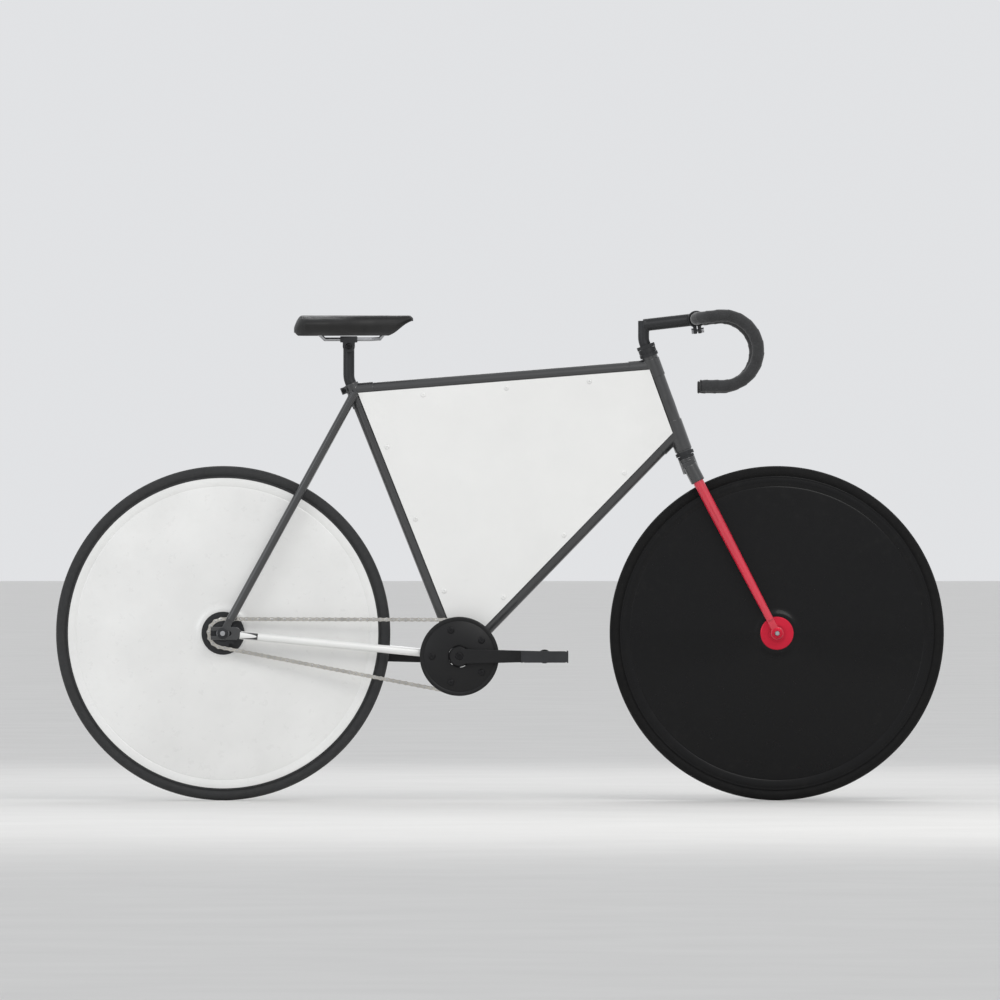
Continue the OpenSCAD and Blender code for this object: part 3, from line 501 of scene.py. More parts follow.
def disc_profile(hub_r, hub_y):
    """One face of a closed wheel: collar, gently crowned skin, rim band and edge."""
    inner = RIM_R - 0.020
    pts = [(hub_r - 0.0002, hub_y - 0.0012), (hub_r - 0.0002, hub_y + 0.0018),
           (hub_r + 0.0012, hub_y + 0.0022), (hub_r + 0.0085, hub_y + 0.0020),
           (hub_r + 0.0095, hub_y + 0.0012)]
    for i in range(1, 25):
        f = i / 24
        r = hub_r + 0.0095 + f * (inner - 0.002 - hub_r - 0.0095)
        flat = hub_y + 0.0012 + f * (0.0105 - hub_y - 0.0012)
        pts.append((r, flat + 0.0012 * math.sin(math.pi * f)))
    pts += [(inner - 0.0006, 0.0103), (inner + 0.0004, 0.0099), (inner + 0.0014, 0.0105),
            (RIM_R - 0.003, 0.0105), (RIM_R - 0.002, 0.0101), (RIM_R - 0.0018, 0.0096),
            (inner, 0.0096)]
    return pts


def mirrored(part, flip):
    vs, fs = part
    if not flip:
        return vs, fs
    return [Vector((v[0], -v[1], v[2])) for v in vs], fs


for end, centre, hub_r, hub_y, look in (
        ("front", FRONT, 0.033, 0.026, "black_disc"), ("rear", REAR, 0.043, 0.023, "white_disc")):
    tyre = make(end + "_tyre_detail", *turned(tyre_profile(), centre, 360), end + "_tyre")
    show(tyre, end + "_wheel", "tyre_rubber", end + "_tyre")
    sides = []
    for flip in (False, True):
        sides.append(mirrored(turned(disc_profile(hub_r, hub_y), centre, 240), flip))
    disc = joined(end + "_disc_skins", sides, look)
    show(disc, end + "_wheel", look, end + "_disc")
    bands = []
    for flip in (False, True):
        bands.append(mirrored(turned([
            (RIM_R - 0.0030, 0.0090), (RIM_R - 0.0030, 0.0108), (RIM_R - 0.0008, 0.0110),
            (RIM_R + 0.0006, 0.0106), (RIM_R + 0.0006, 0.0090)], centre, 240), flip))
    show(joined(end + "_rim_edge", bands, "black_disc" if end == "front" else "rear_tyre"),
         end + "_wheel", "black_disc" if end == "front" else "tyre_rubber")


def threaded_end(centre, y0, y1, r, pitch=0.001):
    """A threaded stretch of axle with a chamfered tip."""
    profile = [(0, y0), (r * 0.9, y0)]
    turns = int((y1 - y0 - 0.001) / pitch)
    for i in range(turns):
        y = y0 + i * pitch
        profile += [(r * 0.90, y + 0.1 * pitch), (r, y + 0.45 * pitch),
                    (r, y + 0.55 * pitch), (r * 0.90, y + 0.9 * pitch)]
    profile += [(r * 0.97, y1 - 0.0009), (r * 0.8, y1), (0, y1)]
    return capped(profile, centre, 40)


for end, centre, r, out, body in (("front", FRONT, 0.0045, 0.074, "fork"),
                                  ("rear", REAR, 0.0050, 0.084, "frame")):
    start = out - 0.026
    parts = [mirrored(threaded_end(centre, start, out, r), flip) for flip in (False, True)]
    parts.append(capped([(0, -start), (r, -start), (r, start), (0, start)], centre, 40))
    show(joined(end + "_axle_threaded", parts, "steel"), body, "steel", end + "_axle")


# ---------------------------------------------------------------- chain and cranks

LINK = 0.0127
RING_R = LINK / 2 / math.sin(math.pi / 36)
SPROCKET_R = LINK / 2 / math.sin(math.pi / 14)
CHAIN_Y = -0.042
WRAP = math.asin((RING_R - SPROCKET_R) / 0.4741)
BACK = Vector((REAR[0] - BB[0], 0, REAR[2] - BB[2]))
TILT = math.atan2(BACK.z, BACK.x)


def on_circle(centre, r, angle):
    return Vector((centre[0] + r * math.cos(angle), CHAIN_Y, centre[2] + r * math.sin(angle)))


def chain_places():
    """The pins of the closed chain, in order, with a pin at the chainring's very front."""
    front_half = (math.pi / 2 + WRAP) / (TAU / 36)
    rear_half = (math.pi / 2 - WRAP) / (TAU / 14)
    run = (100 - 2 * front_half - 2 * rear_half) / 2
    top_a = on_circle(BB, RING_R, TILT - (math.pi / 2 - WRAP))
    top_b = on_circle(REAR, SPROCKET_R, TILT - (math.pi / 2 - WRAP))
    low_a = on_circle(BB, RING_R, TILT + (math.pi / 2 - WRAP))
    low_b = on_circle(REAR, SPROCKET_R, TILT + (math.pi / 2 - WRAP))
    pins = []
    for k in range(100):
        if k <= front_half:
            pins.append(on_circle(BB, RING_R, TILT + math.pi + k * TAU / 36))
        elif k <= front_half + run:
            pins.append(top_a.lerp(top_b, (k - front_half) / run))
        elif k <= front_half + run + 2 * rear_half:
            a = (k - front_half - run - rear_half) * TAU / 14
            pins.append(on_circle(REAR, SPROCKET_R, TILT + a))
        elif k <= front_half + 2 * run + 2 * rear_half:
            f = (k - front_half - run - 2 * rear_half) / run
            pins.append(low_b.lerp(low_a, f))
        else:
            pins.append(on_circle(BB, RING_R, TILT + math.pi - (100 - k) * TAU / 36))
    return pins


def side_plate(a, b, y, thick, r, waist):
    """One figure-of-eight plate between the pins a and b."""
    along = (b - a).normalized()
    up = Vector((-along.z, 0, along.x))
    half = (b - a).length / 2
    mid = (a + b) / 2
    outline = []
    for i in range(-5, 6):
        t = math.radians(118 * i / 5)
        outline.append((half + r * math.cos(t), r * math.sin(t)))
    outline += [(half * 0.25, waist * 1.04), (0, waist), (-half * 0.25, waist * 1.04)]
    for i in range(-5, 6):
        t = math.pi + math.radians(118 * i / 5)
        outline.append((-half + r * math.cos(t), r * math.sin(t)))
    outline += [(-half * 0.25, -waist * 1.04), (0, -waist), (half * 0.25, -waist * 1.04)]
    n = len(outline)
    verts = []
    for level, inset in ((0.0, 0.0003), (0.00022, 0.0), (thick - 0.00022, 0.0), (thick, 0.0003)):
        for u, v in outline:
            k = 1 - inset / math.hypot(u, v)
            p = mid + along * u * k + up * v * k
            verts.append(Vector((p.x, y + level, p.z)))
    faces = [tuple(range(n - 1, -1, -1)), tuple(range(3 * n, 4 * n))]
    for ring in range(3):
        for i in range(n):
            j = (i + 1) % n
            faces.append((ring * n + i, ring * n + j, (ring + 1) * n + j, (ring + 1) * n + i))
    return verts, faces


def chain_parts():
    pins = chain_places()
    plates = []
    rollers = []
    for k in range(100):
        a, b = pins[k], pins[(k + 1) % 100]
        outer = k % 2 == 0
        gap = 0.00205 if outer else 0.00125
        thick = 0.00070 if outer else 0.00075
        for side in (-1, 1):
            y = CHAIN_Y + (gap if side > 0 else -gap - thick)
            plates.append(side_plate(a, b, y, thick, 0.00415, 0.0031))
        place = (a.x, CHAIN_Y, a.z)
        rollers.append(capped([(0, -0.0012), (0.0037, -0.0012), (0.0038, -0.0009),
                               (0.0038, 0.0009), (0.0037, 0.0012), (0, 0.0012)], place, 16))
        rollers.append(capped([(0, -0.0030), (0.0014, -0.0030), (0.0018, -0.0027),
                               (0.0018, 0.0027), (0.0014, 0.0030), (0, 0.0030)], place, 12))
    return plates, rollers


plates, rollers = chain_parts()
show(joined("chain_plates", plates, "nickel"), "frame", "nickel", "chain")
show(joined("chain_rollers", rollers, "steel"), "frame", "steel", "chain")


def softened(node, body, slot, look, voxel=0.0009, rounds=6):
    """The CAD solid with its sharp edges rounded over, as a forging or casting has."""
    src = NODES[node]
    mesh = src.data.copy()
    mesh.name = node + "_forged"
    obj = bpy.data.objects.new(node + "_forged", mesh)
    bpy.context.scene.collection.objects.link(obj)
    mesh.materials.clear()
    mesh.materials.append(MATS[look])
    remesh = obj.modifiers.new("remesh", "REMESH")
    remesh.mode = "VOXEL"
    remesh.voxel_size = voxel
    remesh.use_smooth_shade = True
    smooth = obj.modifiers.new("smooth", "SMOOTH")
    smooth.factor = 0.5
    smooth.iterations = rounds
    graph = bpy.context.evaluated_depsgraph_get()
    made = bpy.data.meshes.new_from_object(obj.evaluated_get(graph))
    obj.modifiers.clear()
    obj.data = made
    made.name = node + "_forged"
    made.materials.clear()
    made.materials.append(MATS[look])
    for poly in made.polygons:
        poly.use_smooth = True
    return show(obj, body, slot, node)


# ---------------------------------------------------------------- fasteners and machined parts

def ringed(rings, cap_start=True, cap_end=True):
    """Skins a list of equal rings of points."""
    n = len(rings[0])
    verts = [p for ring in rings for p in ring]
    faces = []
    for k in range(len(rings) - 1):
        for i in range(n):
            j = (i + 1) % n
            faces.append((k * n + i, k * n + j, (k + 1) * n + j, (k + 1) * n + i))
    if cap_start:
        faces.append(tuple(range(n - 1, -1, -1)))
    if cap_end:
        m = (len(rings) - 1) * n
        faces.append(tuple(range(m, m + n)))
    return verts, faces


def side_ring(centre, axis, radius_of, height, seg):
    axis = Vector(axis).normalized()
    a = Vector((1, 0, 0)) if abs(axis.y) > 0.99 else axis.orthogonal().normalized()
    b = axis.cross(a)
    ring = []
    for i in range(seg):
        t = TAU * i / seg
        ring.append(Vector(centre) + axis * height
                    + (a * math.cos(t) + b * math.sin(t)) * radius_of(t))
    return ring


def hexagon(half_flat):
    def radius(t):
        return half_flat / math.cos((t % (TAU / 6)) - TAU / 12)
    return radius


def hex_nut(centre, axis, base, height, half_flat, bore, chamfer=0.0012):
    """A chamfered nut with its bore, from base to base + height along axis."""
    hexa = hexagon(half_flat)
    full = half_flat / math.cos(TAU / 12)
    rings = []
    for h, cut in ((0, chamfer), (chamfer * 0.35, chamfer * 0.4), (chamfer * 0.8, 0),
                   (height - chamfer * 0.8, 0), (height - chamfer * 0.35, chamfer * 0.4),
                   (height, chamfer)):
        limit = full - cut
        rings.append(side_ring(centre, axis, lambda t, m=limit: min(hexa(t), m), base + h, 72))
    for h, r in ((height, bore + 0.0006), (height - 0.0006, bore), (0.0006, bore),
                 (0, bore + 0.0006)):
        rings.append(side_ring(centre, axis, lambda t, m=r: m, base + h, 72))
    rings.append(rings[0])
    return ringed(rings, False, False)


def socket_head(centre, axis, base, height, r, socket, dome=True):
    """A button or cap head with a hexagon socket, standing on base along axis."""
    hexa = hexagon(socket)
    rings = [side_ring(centre, axis, lambda t: r, base, 36)]
    steps = 6
    for i in range(1, steps + 1):
        f = i / steps
        if dome:
            rr = r - (r - socket * 1.45) * (1 - math.cos(f * math.pi / 2))
            hh = height * math.sin(f * math.pi / 2)
        else:
            rr = r - 0.0006 * f * f
            hh = height - 0.0006 * (1 - f)
        rings.append(side_ring(centre, axis, lambda t, m=rr: m, base + hh, 36))
    rings.append(side_ring(centre, axis, lambda t: hexa(t) * 1.05, base + height, 36))
    rings.append(side_ring(centre, axis, hexa, base + height - 0.0003, 36))
    rings.append(side_ring(centre, axis, hexa, base + height * 0.35, 36))
    return ringed(rings)


def axle_set(centre, y0, r, cone_in, cone_r, out_nut):
    """Washers, nuts and cones on both ends of an axle."""
    parts = []
    for flip in (False, True):
        washer = turned([(r, y0), (0.0108, y0), (0.0112, y0 + 0.0004), (0.0110, y0 + 0.0013),
                         (0.0104, y0 + 0.0016), (r, y0 + 0.0016)], centre, 64)
        cone = turned([(r, cone_in + 0.0002), (cone_r * 0.62, cone_in + 0.0002),
                       (cone_r * 0.94, cone_in + 0.0035), (cone_r, cone_in + 0.0042),
                       (cone_r, out_nut - 0.0036), (cone_r * 0.97, out_nut - 0.0032),
                       (cone_r, out_nut - 0.0028), (cone_r, out_nut), (r, out_nut)], centre, 64)
        nut = hex_nut(centre, (0, 1, 0), y0 + 0.0017, 0.0078, 0.0075, r)
        for part in (washer, cone, nut):
            parts.append(mirrored(part, flip))
    return parts


show(joined("front_axle_nuts", axle_set(FRONT, 0.055, 0.0045, 0.041, 0.008, 0.050),
            "red_alloy"), "fork", "red_alloy", "front_axle_hardware")
show(joined("rear_axle_nuts", axle_set(REAR, 0.065, 0.0050, 0.047, 0.009, 0.060),
            "dark_steel"), "frame", "dark_steel", "rear_axle_hardware")


# Panel screws: nine on each side, at the places of the CAD screws.
def islands(node):
    """Boxes of a CAD node's separate solids."""
    mesh = NODES[node].data
    bm = bmesh.new()
    bm.from_mesh(mesh)
    bmesh.ops.remove_doubles(bm, verts=bm.verts, dist=1e-6)
    seen = set()
    boxes = []
    for start in bm.verts:
        if start.index in seen:
            continue
        stack = [start]
        seen.add(start.index)
        low = list(start.co)
        high = list(start.co)
        while stack:
            v = stack.pop()
            for k in range(3):
                low[k] = min(low[k], v.co[k])
                high[k] = max(high[k], v.co[k])
            for e in v.link_edges:
                w = e.other_vert(v)
                if w.index not in seen:
                    seen.add(w.index)
                    stack.append(w)
        boxes.append((low, high))
    bm.free()
    return boxes


heads = []
for low, high in islands("panel_screws"):
    spot = ((low[0] + high[0]) / 2, 0, (low[2] + high[2]) / 2)
    for sign in (1, -1):
        heads.append(socket_head(spot, (0, sign, 0), 0.01795, 0.0019, 0.0050, 0.0015))
    heads.append(capped([(0, -0.017), (0.0044, -0.017), (0.0044, 0.017), (0, 0.017)], spot, 24))
show(joined("panel_screw_heads", heads, "screw_white"), "frame", "white_panel", "panel_screws")

bolts = []
for i in range(5):
    a = math.radians(36 + 72 * i)
    spot = (BB[0] + 0.055 * math.cos(a), 0, BB[2] + 0.055 * math.sin(a))
    bolts.append(socket_head(spot, (0, -1, 0), 0.0500, 0.0022, 0.0070, 0.0025))
    bolts.append(turned([(0.0049, -0.0500), (0.0049, -0.0396), (0.0062, -0.0396),
                         (0.0065, -0.0399), (0.0065, -0.0408), (0.0050, -0.0408)][::-1],
                        spot, 40))
for sign in (1, -1):
    bolts.append(socket_head((BB[0], 0, BB[2]), (0, sign, 0), 0.0572, 0.0060, 0.0073, 0.0040,
                             False))
show(joined("crank_bolt_heads", bolts, "black_bolt"), "cranks", "dark_steel", "crank_bolts")

guard = turned([(0.0221, -0.0476), (0.0221, -0.0499), (0.0700, -0.0499), (0.0708, -0.0493),
                (0.0716, -0.0499), (0.0755, -0.0500), (0.0782, -0.0496), (0.0790, -0.0488),
                (0.0786, -0.0479), (0.0770, -0.0476)], BB, 240)
show(make("guard_disc", *guard, "guard"), "cranks", "black_alloy", "chainring_guard")

for node in ("crank_right", "crank_left"):
    softened(node, "cranks", "black_alloy", "guard", 0.0009, 8)
softened("stem", "stem", "dark_alloy", "dark_alloy", 0.0008, 8)
softened("fork_crown", "fork", "frame_paint", "frame", 0.0009, 8)
softened("frame_lugs", "frame", "frame_paint", "frame", 0.00065, 4)
softened("saddle_clamp", "saddle", "dark_alloy", "dark_alloy", 0.0006, 6)
softened("rear_dropouts", "frame", "frame_paint", "frame", 0.0008, 3)
softened("fork_ends", "fork", "red_paint", "red", 0.0008, 3)
# ---------------------------------------------------------------- handlebar tape and plugs

CLAMP = Vector(JOINTS["bar_roll"]["pos_m"])
RISE = math.radians(6.5)
HOOK = math.radians(186.5)


def bar_point(x, y, z, flip):
    """A point in the handlebar's own frame, at its clamp, as the bar is set on the stem."""
    return CLAMP + Vector((x * math.cos(RISE) - z * math.sin(RISE), -y if flip else y,
                           x * math.sin(RISE) + z * math.cos(RISE)))


def bar_path(flip, step=0.001):
    """The bar's centre line on one side, from the tape's inner end to the open end."""
    pts = []

    def stretch(length, place):
        n = max(2, int(length / step))
        for i in range(n):
            pts.append(bar_point(*place(i / n), flip))

    stretch(0.099, lambda f: (0, 0.060 + 0.099 * f, 0))
    stretch(0.041 * math.pi / 2, lambda f: (
        0.041 - 0.041 * math.cos(f * math.pi / 2), 0.159 + 0.041 * math.sin(f * math.pi / 2), 0))
    stretch(0.002, lambda f: (0.041 + 0.002 * f, 0.200, 0))
    stretch(0.070 * HOOK, lambda f: (
        0.043 + 0.070 * math.sin(f * HOOK), 0.200, -0.070 + 0.070 * math.cos(f * HOOK)))
    end = (0.043 + 0.070 * math.sin(HOOK), 0.200, -0.070 + 0.070 * math.cos(HOOK))
    run = (math.cos(HOOK), 0, -math.sin(HOOK))
    stretch(0.0424, lambda f: tuple(end[k] + run[k] * 0.0424 * f for k in range(3)))
    pts.append(bar_point(*(end[k] + run[k] * 0.0424 for k in range(3)), flip))
    return pts


def swept(pts, radius_of, seg=64, cap=True):
    """A tube along pts, whose radius at a length s and an angle t is radius_of(s, t)."""
    n = len(pts)
    tangents = []
    for i in range(n):
        a = pts[max(0, i - 1)]
        b = pts[min(n - 1, i + 1)]
        tangents.append((b - a).normalized())
    side = tangents[0].orthogonal().normalized()
    rings = []
    s = 0.0
    for i in range(n):
        if i:
            s += (pts[i] - pts[i - 1]).length
            turn = tangents[i - 1].rotation_difference(tangents[i])
            side = turn @ side
        up = tangents[i].cross(side)
        ring = []
        for k in range(seg):
            t = TAU * k / seg
            r = radius_of(s, t)
            ring.append(pts[i] + (side * math.cos(t) + up * math.sin(t)) * r)
        rings.append(ring)
    return ringed(rings, cap, cap)


def smooth_step(f):
    f = max(0.0, min(1.0, f))
    return f * f * (3 - 2 * f)


def wrapped(hand, total):
    """Overlapping turns of tape: each lap's edge stands proud of the turn before."""
    def radius(s, t):
        lap = (s / 0.021 + hand * t / TAU) % 1.0
        r = 0.01195 + 0.00068 * (1 - smooth_step(lap / 0.62)) * smooth_step((lap + 0.02) / 0.05)
        pinch = smooth_step(s / 0.010) * smooth_step((total - s) / 0.006)
        return 0.0115 + (r - 0.0115) * pinch
    return radius


def path_length(pts):
    return sum((pts[i] - pts[i - 1]).length for i in range(1, len(pts)))


tapes = []
bands = []
plugs = []
for flip in (False, True):
    line = bar_path(flip)
    tapes.append(swept(line, wrapped(-1 if flip else 1, path_length(line)), 96))
    sign = -1 if flip else 1
    band = [(0.0112, 0.0002), (0.0121, 0.0004), (0.01235, 0.0010)]
    for i in range(12):
        band.append((0.01238 + (0.00008 if i % 2 else 0), 0.0018 + i * 0.0009))
    band += [(0.01235, 0.0126), (0.0120, 0.0132), (0.0112, 0.0134)]
    bands.append(turned([(r, sign * (0.060 + h)) for r, h in band], CLAMP, 96))
    back = (line[-1] - line[-2]).normalized()
    plugs.append(capped([(0, -0.0138), (0.0088, -0.0138), (0.0093, -0.0130), (0.0093, -0.0002),
                         (0.0117, 0.0000), (0.0124, 0.0005), (0.0125, 0.0013),
                         (0.0122, 0.0023), (0.0113, 0.0030), (0.0098, 0.0034),
                         (0.0070, 0.00345), (0.0066, 0.0031), (0.0060, 0.0031),
                         (0.0056, 0.00348), (0, 0.0035)], line[-1] + back * 0.0002, 64, back))
show(joined("wrapped_tape", tapes, "tape"), "handlebar", "bar_tape", "bar_tape")
show(joined("tape_finish_bands", bands, "plastic"), "handlebar", "bar_tape")
show(joined("bar_end_caps", plugs, "plastic"), "handlebar", "black_plastic", "bar_end_plugs")
# ---------------------------------------------------------------- saddle

SADDLE_BACK = -0.4115
SADDLE_LEN = 0.238
SADDLE_TOP = 0.969


def saddle_width(s):
    """Half width of the saddle at a share s of its length from the rear."""
    body = 0.070 * (0.245 + 0.755 / (1 + math.exp((s - 0.42) * 13)))
    if s < 0.1:
        body = min(body, 0.070 * (0.72 + 2.8 * s))
    tail = math.sqrt(max(0.0, 1 - (1 - min(1.0, s / 0.085)) ** 2.4))
    nose = math.sqrt(max(0.0, 1 - (1 - min(1.0, (1 - s) / 0.045)) ** 2.2))
    return max(0.0006, body * (0.30 + 0.70 * tail) * nose)


def saddle_section(s):
    """Half width, top and skirt foot of the section at s."""
    w = saddle_width(s)
    rear = (1 - min(1.0, s / 0.070)) ** 2
    tip = (1 - min(1.0, (1 - s) / 0.035)) ** 2
    top = SADDLE_TOP - 0.0002 - 0.024 * rear - 0.0060 * tip
    nose = max(0.0, min(1.0, (s - 0.795) / 0.19))
    blend = nose - 0.10 * math.sin(TAU * nose) * 0.5
    foot = SADDLE_TOP - 0.0405 + 0.0290 * blend + 0.006 * (1 - smooth_step(s / 0.035))
    return w, top, foot


def saddle_ring(s, seg=72):
    """One closed cross section: crowned on top, full at the shoulder, drawn in below."""
    w, top, foot = saddle_section(s)
    deep = top - foot
    x = SADDLE_BACK + s * SADDLE_LEN
    ring = []
    half = seg // 2
    side = []
    for i in range(half + 1):
        f = i / half
        if f < 0.62:
            g = f / 0.62
            a = g * math.pi / 2
            y = w * math.sin(a) ** 0.92
            z = top - min(0.020, deep * 0.62) * (1 - math.cos(a) ** 0.80)
        else:
            g = (f - 0.62) / 0.38
            z0 = top - min(0.020, deep * 0.62)
            z = z0 - (z0 - foot) * g
            y = w - 0.0030 * smooth_step(g) * min(1.0, w / 0.02) - 0.0016 * math.sin(math.pi * g)
        side.append((y, z))
    for y, z in side:
        ring.append(Vector((x, y, z)))
    inner = max(0.0003, side[-1][0] - 0.0042)
    ring.append(Vector((x, inner, foot + 0.0006)))
    ring.append(Vector((x, inner * 0.98, foot + min(0.0135, deep * 0.5))))
    ring.append(Vector((x, -inner * 0.98, foot + min(0.0135, deep * 0.5))))
    ring.append(Vector((x, -inner, foot + 0.0006)))
    for y, z in side[:0:-1]:
        ring.append(Vector((x, -y, z)))
    return ring


stations = []
count = 150
for i in range(count + 1):
    f = i / count
    stations.append(0.5 - 0.5 * math.cos(math.pi * f))
rings = [saddle_ring(s) for s in stations]

# The cover's panels: a centre panel and two side panels, met by a sewn seam that dips.
SEAM_SHARE = 0.44


def seam_line(flip):
    """Where the seam runs, as points on the crowned top a share of the way to the shoulder."""
    pts = []
    for s, ring in zip(stations, rings):
        if 0.035 < s < 0.968:
            k = 36 * (0.62 * SEAM_SHARE)
            i = int(k)
            a = ring[i]
            b = ring[i + 1]
            p = a.lerp(b, k - i)
            pts.append(Vector((p.x, -p.y if flip else p.y, p.z)))
    return pts


seams = [seam_line(False), seam_line(True)]
for r, (s, ring) in enumerate(zip(stations, rings)):
    for i, p in enumerate(ring):
        if p.z < SADDLE_TOP - 0.024:
            continue
        if not 0.035 < s < 0.968:
            continue
        k = 36 * (0.62 * SEAM_SHARE)
        share = i if i <= 36 else len(ring) - i
        gap = abs(share - k)
        groove = math.exp(-(gap / 0.55) ** 2)
        ring[i] = p - Vector((0, 0, 0.0011 * groove))
verts, faces = ringed(rings)
cover = make("saddle_padding", verts, faces, "leather")
show(cover, "saddle", "saddle_leather", "saddle_cover")


def stitched(line, pitch, length, r, sink):
    """Separate stitches along a line, each a short bead laid half into the leather."""
    parts = []
    run = 0.0
    want = pitch
    for a, b in zip(line, line[1:]):
        step = (b - a).length
        while run + step >= want and step > 0:
            f = (want - run) / step
            mid = a.lerp(b, f) + Vector((0, 0, sink))
            way = (b - a).normalized() * (length / 2)
            parts.append(swept([mid - way, mid - way * 0.5, mid, mid + way * 0.5, mid + way],
                               lambda s, t: r * (0.35 + 0.65 * math.sin(
                                   math.pi * max(0.0, min(1.0, s / length)))), 6))
            want += pitch
        run += step
    return parts


beads = []
for sign, line in ((1, seams[0]), (-1, seams[1])):
    for out in (-1, 1):
        shifted = []
        for p in line:
            shifted.append(p + Vector((0, out * 0.0024 * sign, 0)))
        beads += stitched(shifted, 0.0042, 0.0030, 0.00042, -0.00005 - 0.0004 * (out > 0))
show(joined("saddle_stitches", beads, "thread"), "saddle", "saddle_leather")
# ---------------------------------------------------------------- pedals

CRANK = 0.170
PEDAL_CENTRES = {"pedal_right": (BB[0] + CRANK, -1), "pedal_left": (BB[0] - CRANK, 1)}


def plate(outline, y0, y1, place, edge=0.0004):
    """A flat plate drawn in side view (x, z) about place, with its edges broken."""
    mx = sum(p[0] for p in outline) / len(outline)
    mz = sum(p[1] for p in outline) / len(outline)
    rings = []
    for y, cut in ((y0, edge), (y0 + edge, 0.0), (y1 - edge, 0.0), (y1, edge)):
        ring = []
        for x, z in outline:
            d = math.hypot(x - mx, z - mz) or 1.0
            ring.append(Vector((place[0] + x - (x - mx) / d * cut, y,
                                place[2] + z - (z - mz) / d * cut)))
        rings.append(ring)
    return ringed(rings)


def toothed_side(x0, x1, sign, place):
    """The serrated front or rear cage plate, drawn from the front and set at x0 to x1."""
    low = []
    high = []
    steps = 52
    for i in range(steps + 1):
        y = 0.0825 + 0.0870 * i / steps
        tooth = (i % 6) in (2, 3, 4)
        depth = 0.0118 if tooth else 0.0090
        high.append((y, depth))
        low.append((y, -depth))
    outline = high + low[::-1]
    rings = []
    for x, cut in ((x0, 0.0003), (x0 + 0.0003, 0.0), (x1 - 0.0003, 0.0), (x1, 0.0003)):
        rings.append([Vector((place[0] + x, sign * y, place[2] + z * (1 - cut / 0.012)))
                      for y, z in outline])
    return ringed(rings)


def box_part(x0, x1, y0, y1, z0, z1, sign, place):
    """A bar with rounded long edges, running along X."""
    soft = 0.0012
    outline = []
    for cx, cz, start in ((y1 - soft, z1 - soft, 0), (y0 + soft, z1 - soft, 90),
                          (y0 + soft, z0 + soft, 180), (y1 - soft, z0 + soft, 270)):
        for k in range(5):
            a = math.radians(start + 22.5 * k)
            outline.append((cx + soft * math.cos(a), cz + soft * math.sin(a)))
    rings = []
    for x in (x0, x1):
        rings.append([Vector((place[0] + x, sign * y, place[2] + z)) for y, z in outline])
    return ringed(rings)


for node, (px, sign) in PEDAL_CENTRES.items():
    place = (px, 0, BB[2])
    body = []
    barrel = [(0.0051, 0.0825), (0.0096, 0.0825), (0.0107, 0.0832), (0.0109, 0.0850),
              (0.0109, 0.0895), (0.0100, 0.0920), (0.0094, 0.0980), (0.0090, 0.1120),
              (0.0090, 0.1220), (0.0094, 0.1370), (0.0100, 0.1430), (0.0109, 0.1450),
              (0.0109, 0.1560), (0.0104, 0.1576), (0.0094, 0.1580), (0.0051, 0.1580)]
    body.append(turned([(r, sign * y) for r, y in barrel], place, 72))
    cap = [(0, 0.1570), (0.0092, 0.1570), (0.0098, 0.1582), (0.0100, 0.1600), (0.0096, 0.1622),
           (0.0080, 0.1634), (0.0050, 0.1638), (0.0048, 0.1630), (0, 0.1630)]
    body.append(capped([(r, sign * y) for r, y in cap], place, 48))
    for y in (0.086, 0.152):
        body.append(box_part(-0.0438, -0.0080, y, y + 0.008, -0.005, 0.005, sign, place))
        body.append(box_part(0.0080, 0.0438, y, y + 0.008, -0.005, 0.005, sign, place))
    show(joined(node + "_body", body, "guard"), node, "black_alloy", node)
    cage = [toothed_side(-0.0469, -0.0438, sign, place), toothed_side(0.0438, 0.0469, sign, place)]
    outline = []
    for cx, cz, start in ((0.0398, 0.0065, 0), (-0.0398, 0.0065, 90),
                          (-0.0398, -0.0065, 180), (0.0398, -0.0065, 270)):
        for k in range(7):
            a = math.radians(start + 15 * k)
            outline.append((cx + 0.005 * math.cos(a), cz + 0.005 * math.sin(a)))
    y = (0.1672, 0.1698) if sign > 0 else (-0.1698, -0.1672)
    cage.append(plate(outline, y[0], y[1], place))
    show(joined(node + "_cage", cage, "dark_steel"), node, "black_alloy")
    screws = []
    for x in (-0.0440, 0.0440):
        for yy in (0.090, 0.156):
            way = (-1, 0, 0) if x < 0 else (1, 0, 0)
            screws.append(socket_head((place[0], sign * yy, place[2]), way, 0.0456, 0.0014,
                                      0.0030, 0.0012))
    show(joined(node + "_cage_screws", screws, "black_bolt"), node, "black_alloy")

# The bolts of the saddle clamp and the seat cluster, with socket heads.
def bolt_on(node, body, axis, head_r, head_h, socket, look, slot, shank):
    """Stands a socket head on each end of a CAD bolt, along axis, inside its own box."""
    parts = []
    for low, high in islands(node):
        mid = Vector([(a + b) / 2 for a, b in zip(low, high)])
        a = Vector(axis).normalized()
        reach = sum(abs(a[k]) * (high[k] - low[k]) for k in range(3)) / 2
        for sign in (1, -1):
            parts.append(socket_head(mid, a * sign, reach - head_h, head_h, head_r, socket))
        parts.append(capped([(0, head_h - reach - 0.0002), (shank, head_h - reach - 0.0002),
                             (shank, reach - head_h + 0.0002), (0, reach - head_h + 0.0002)],
                            mid, 24, a))
    if parts:
        show(joined(node + "_heads", parts, look), body, slot, node)


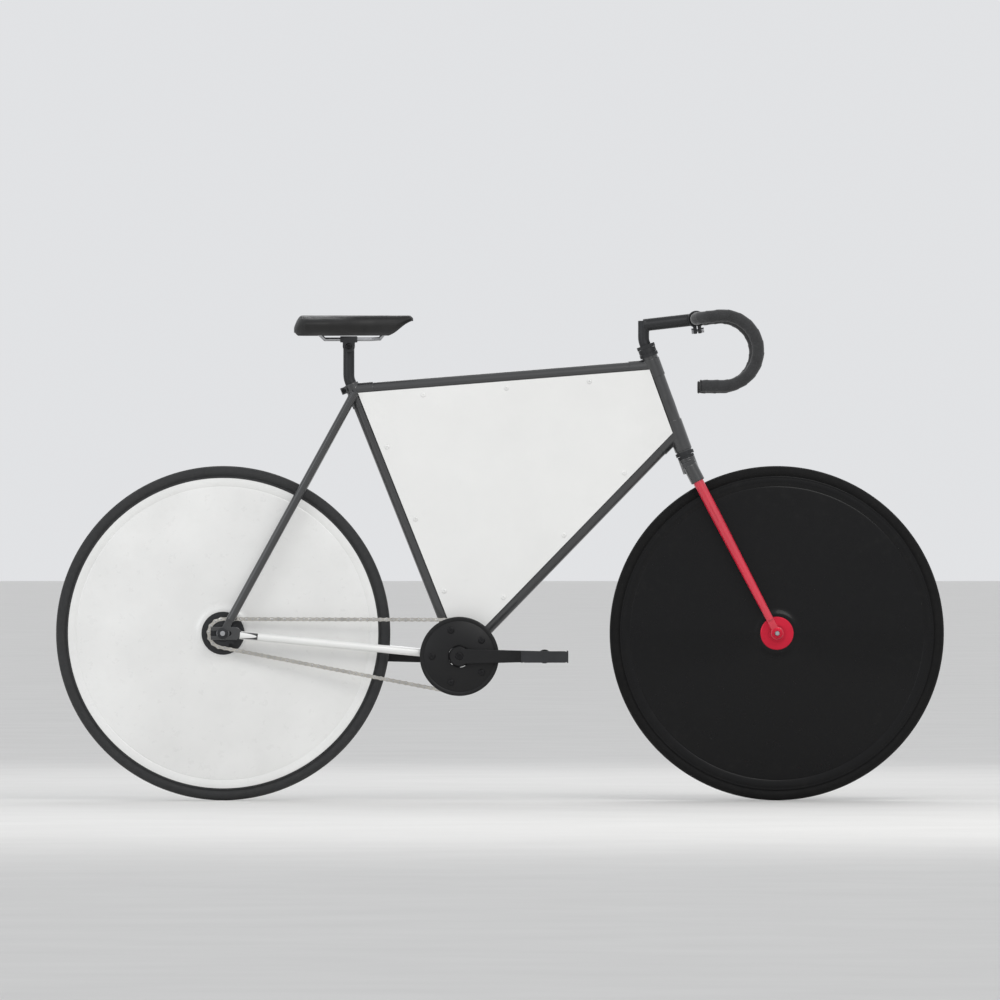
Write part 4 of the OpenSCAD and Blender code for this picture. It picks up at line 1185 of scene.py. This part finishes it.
bolt_on("saddle_clamp_bolt", "saddle", (0, 1, 0), 0.0064, 0.0050, 0.0025, "black_bolt", "steel",
        0.0039)
bolt_on("seat_binder_bolt", "frame", (0, 1, 0), 0.0049, 0.0044, 0.0020, "black_bolt", "steel",
        0.0029)


# ---------------------------------------------------------------- floor, light, camera

def area_light(name, place, aim, size, power, color=(1, 1, 1)):
    light = bpy.data.lights.new(name, "AREA")
    light.shape = "RECTANGLE"
    light.size = size[0]
    light.size_y = size[1]
    light.energy = power
    light.color = color
    obj = bpy.data.objects.new(name, light)
    obj.location = place
    obj.rotation_euler = (Vector(aim) - Vector(place)).to_track_quat("-Z", "Y").to_euler()
    bpy.context.scene.collection.objects.link(obj)
    return obj


floor_look = Shader("floor_paint", (0.74, 0.735, 0.72), rough=0.75)
floor_cloud = floor_look.noise(3, 4)
floor_look.tint(floor_look.ramp(floor_cloud, 0.3, 0.7, (0.72, 0.715, 0.70), (0.76, 0.755, 0.74)))
floor_look.bump(floor_look.noise(300, 3), 0.0001, 0.2)
MATS["floor"] = floor_look.mat
floor = make("floor", [(-90, -90, 0), (90, -90, 0), (90, 90, 0), (-90, 90, 0)],
             [(0, 1, 2, 3)], "floor", smooth=False)

world = bpy.data.worlds.new("studio")
bpy.context.scene.world = world
world.use_nodes = True
world.node_tree.nodes["Background"].inputs[0].default_value = (0.90, 0.91, 0.93, 1)
world.node_tree.nodes["Background"].inputs[1].default_value = 0.84
area_light("key", (1.6, -3.4, 3.2), (0, 0, 0.4), (2.4, 1.8), 50, (1, 0.985, 0.96))
area_light("fill", (-3.2, -2.6, 1.7), (0, 0, 0.5), (2.2, 2.2), 20, (0.95, 0.975, 1))
area_light("back", (0.4, 3.4, 2.8), (0, 0, 0.5), (3.0, 1.4), 26)
bpy.context.scene.view_settings.view_transform = "Standard"

camera_data = bpy.data.cameras.new("camera")
camera_data.lens = 600
camera_data.sensor_width = 36
camera = bpy.data.objects.new("camera", camera_data)
camera.location = (0, -33.3, 0.60)
camera.rotation_euler = (math.radians(90.0), 0, 0)
bpy.context.scene.collection.objects.link(camera)
bpy.context.scene.camera = camera
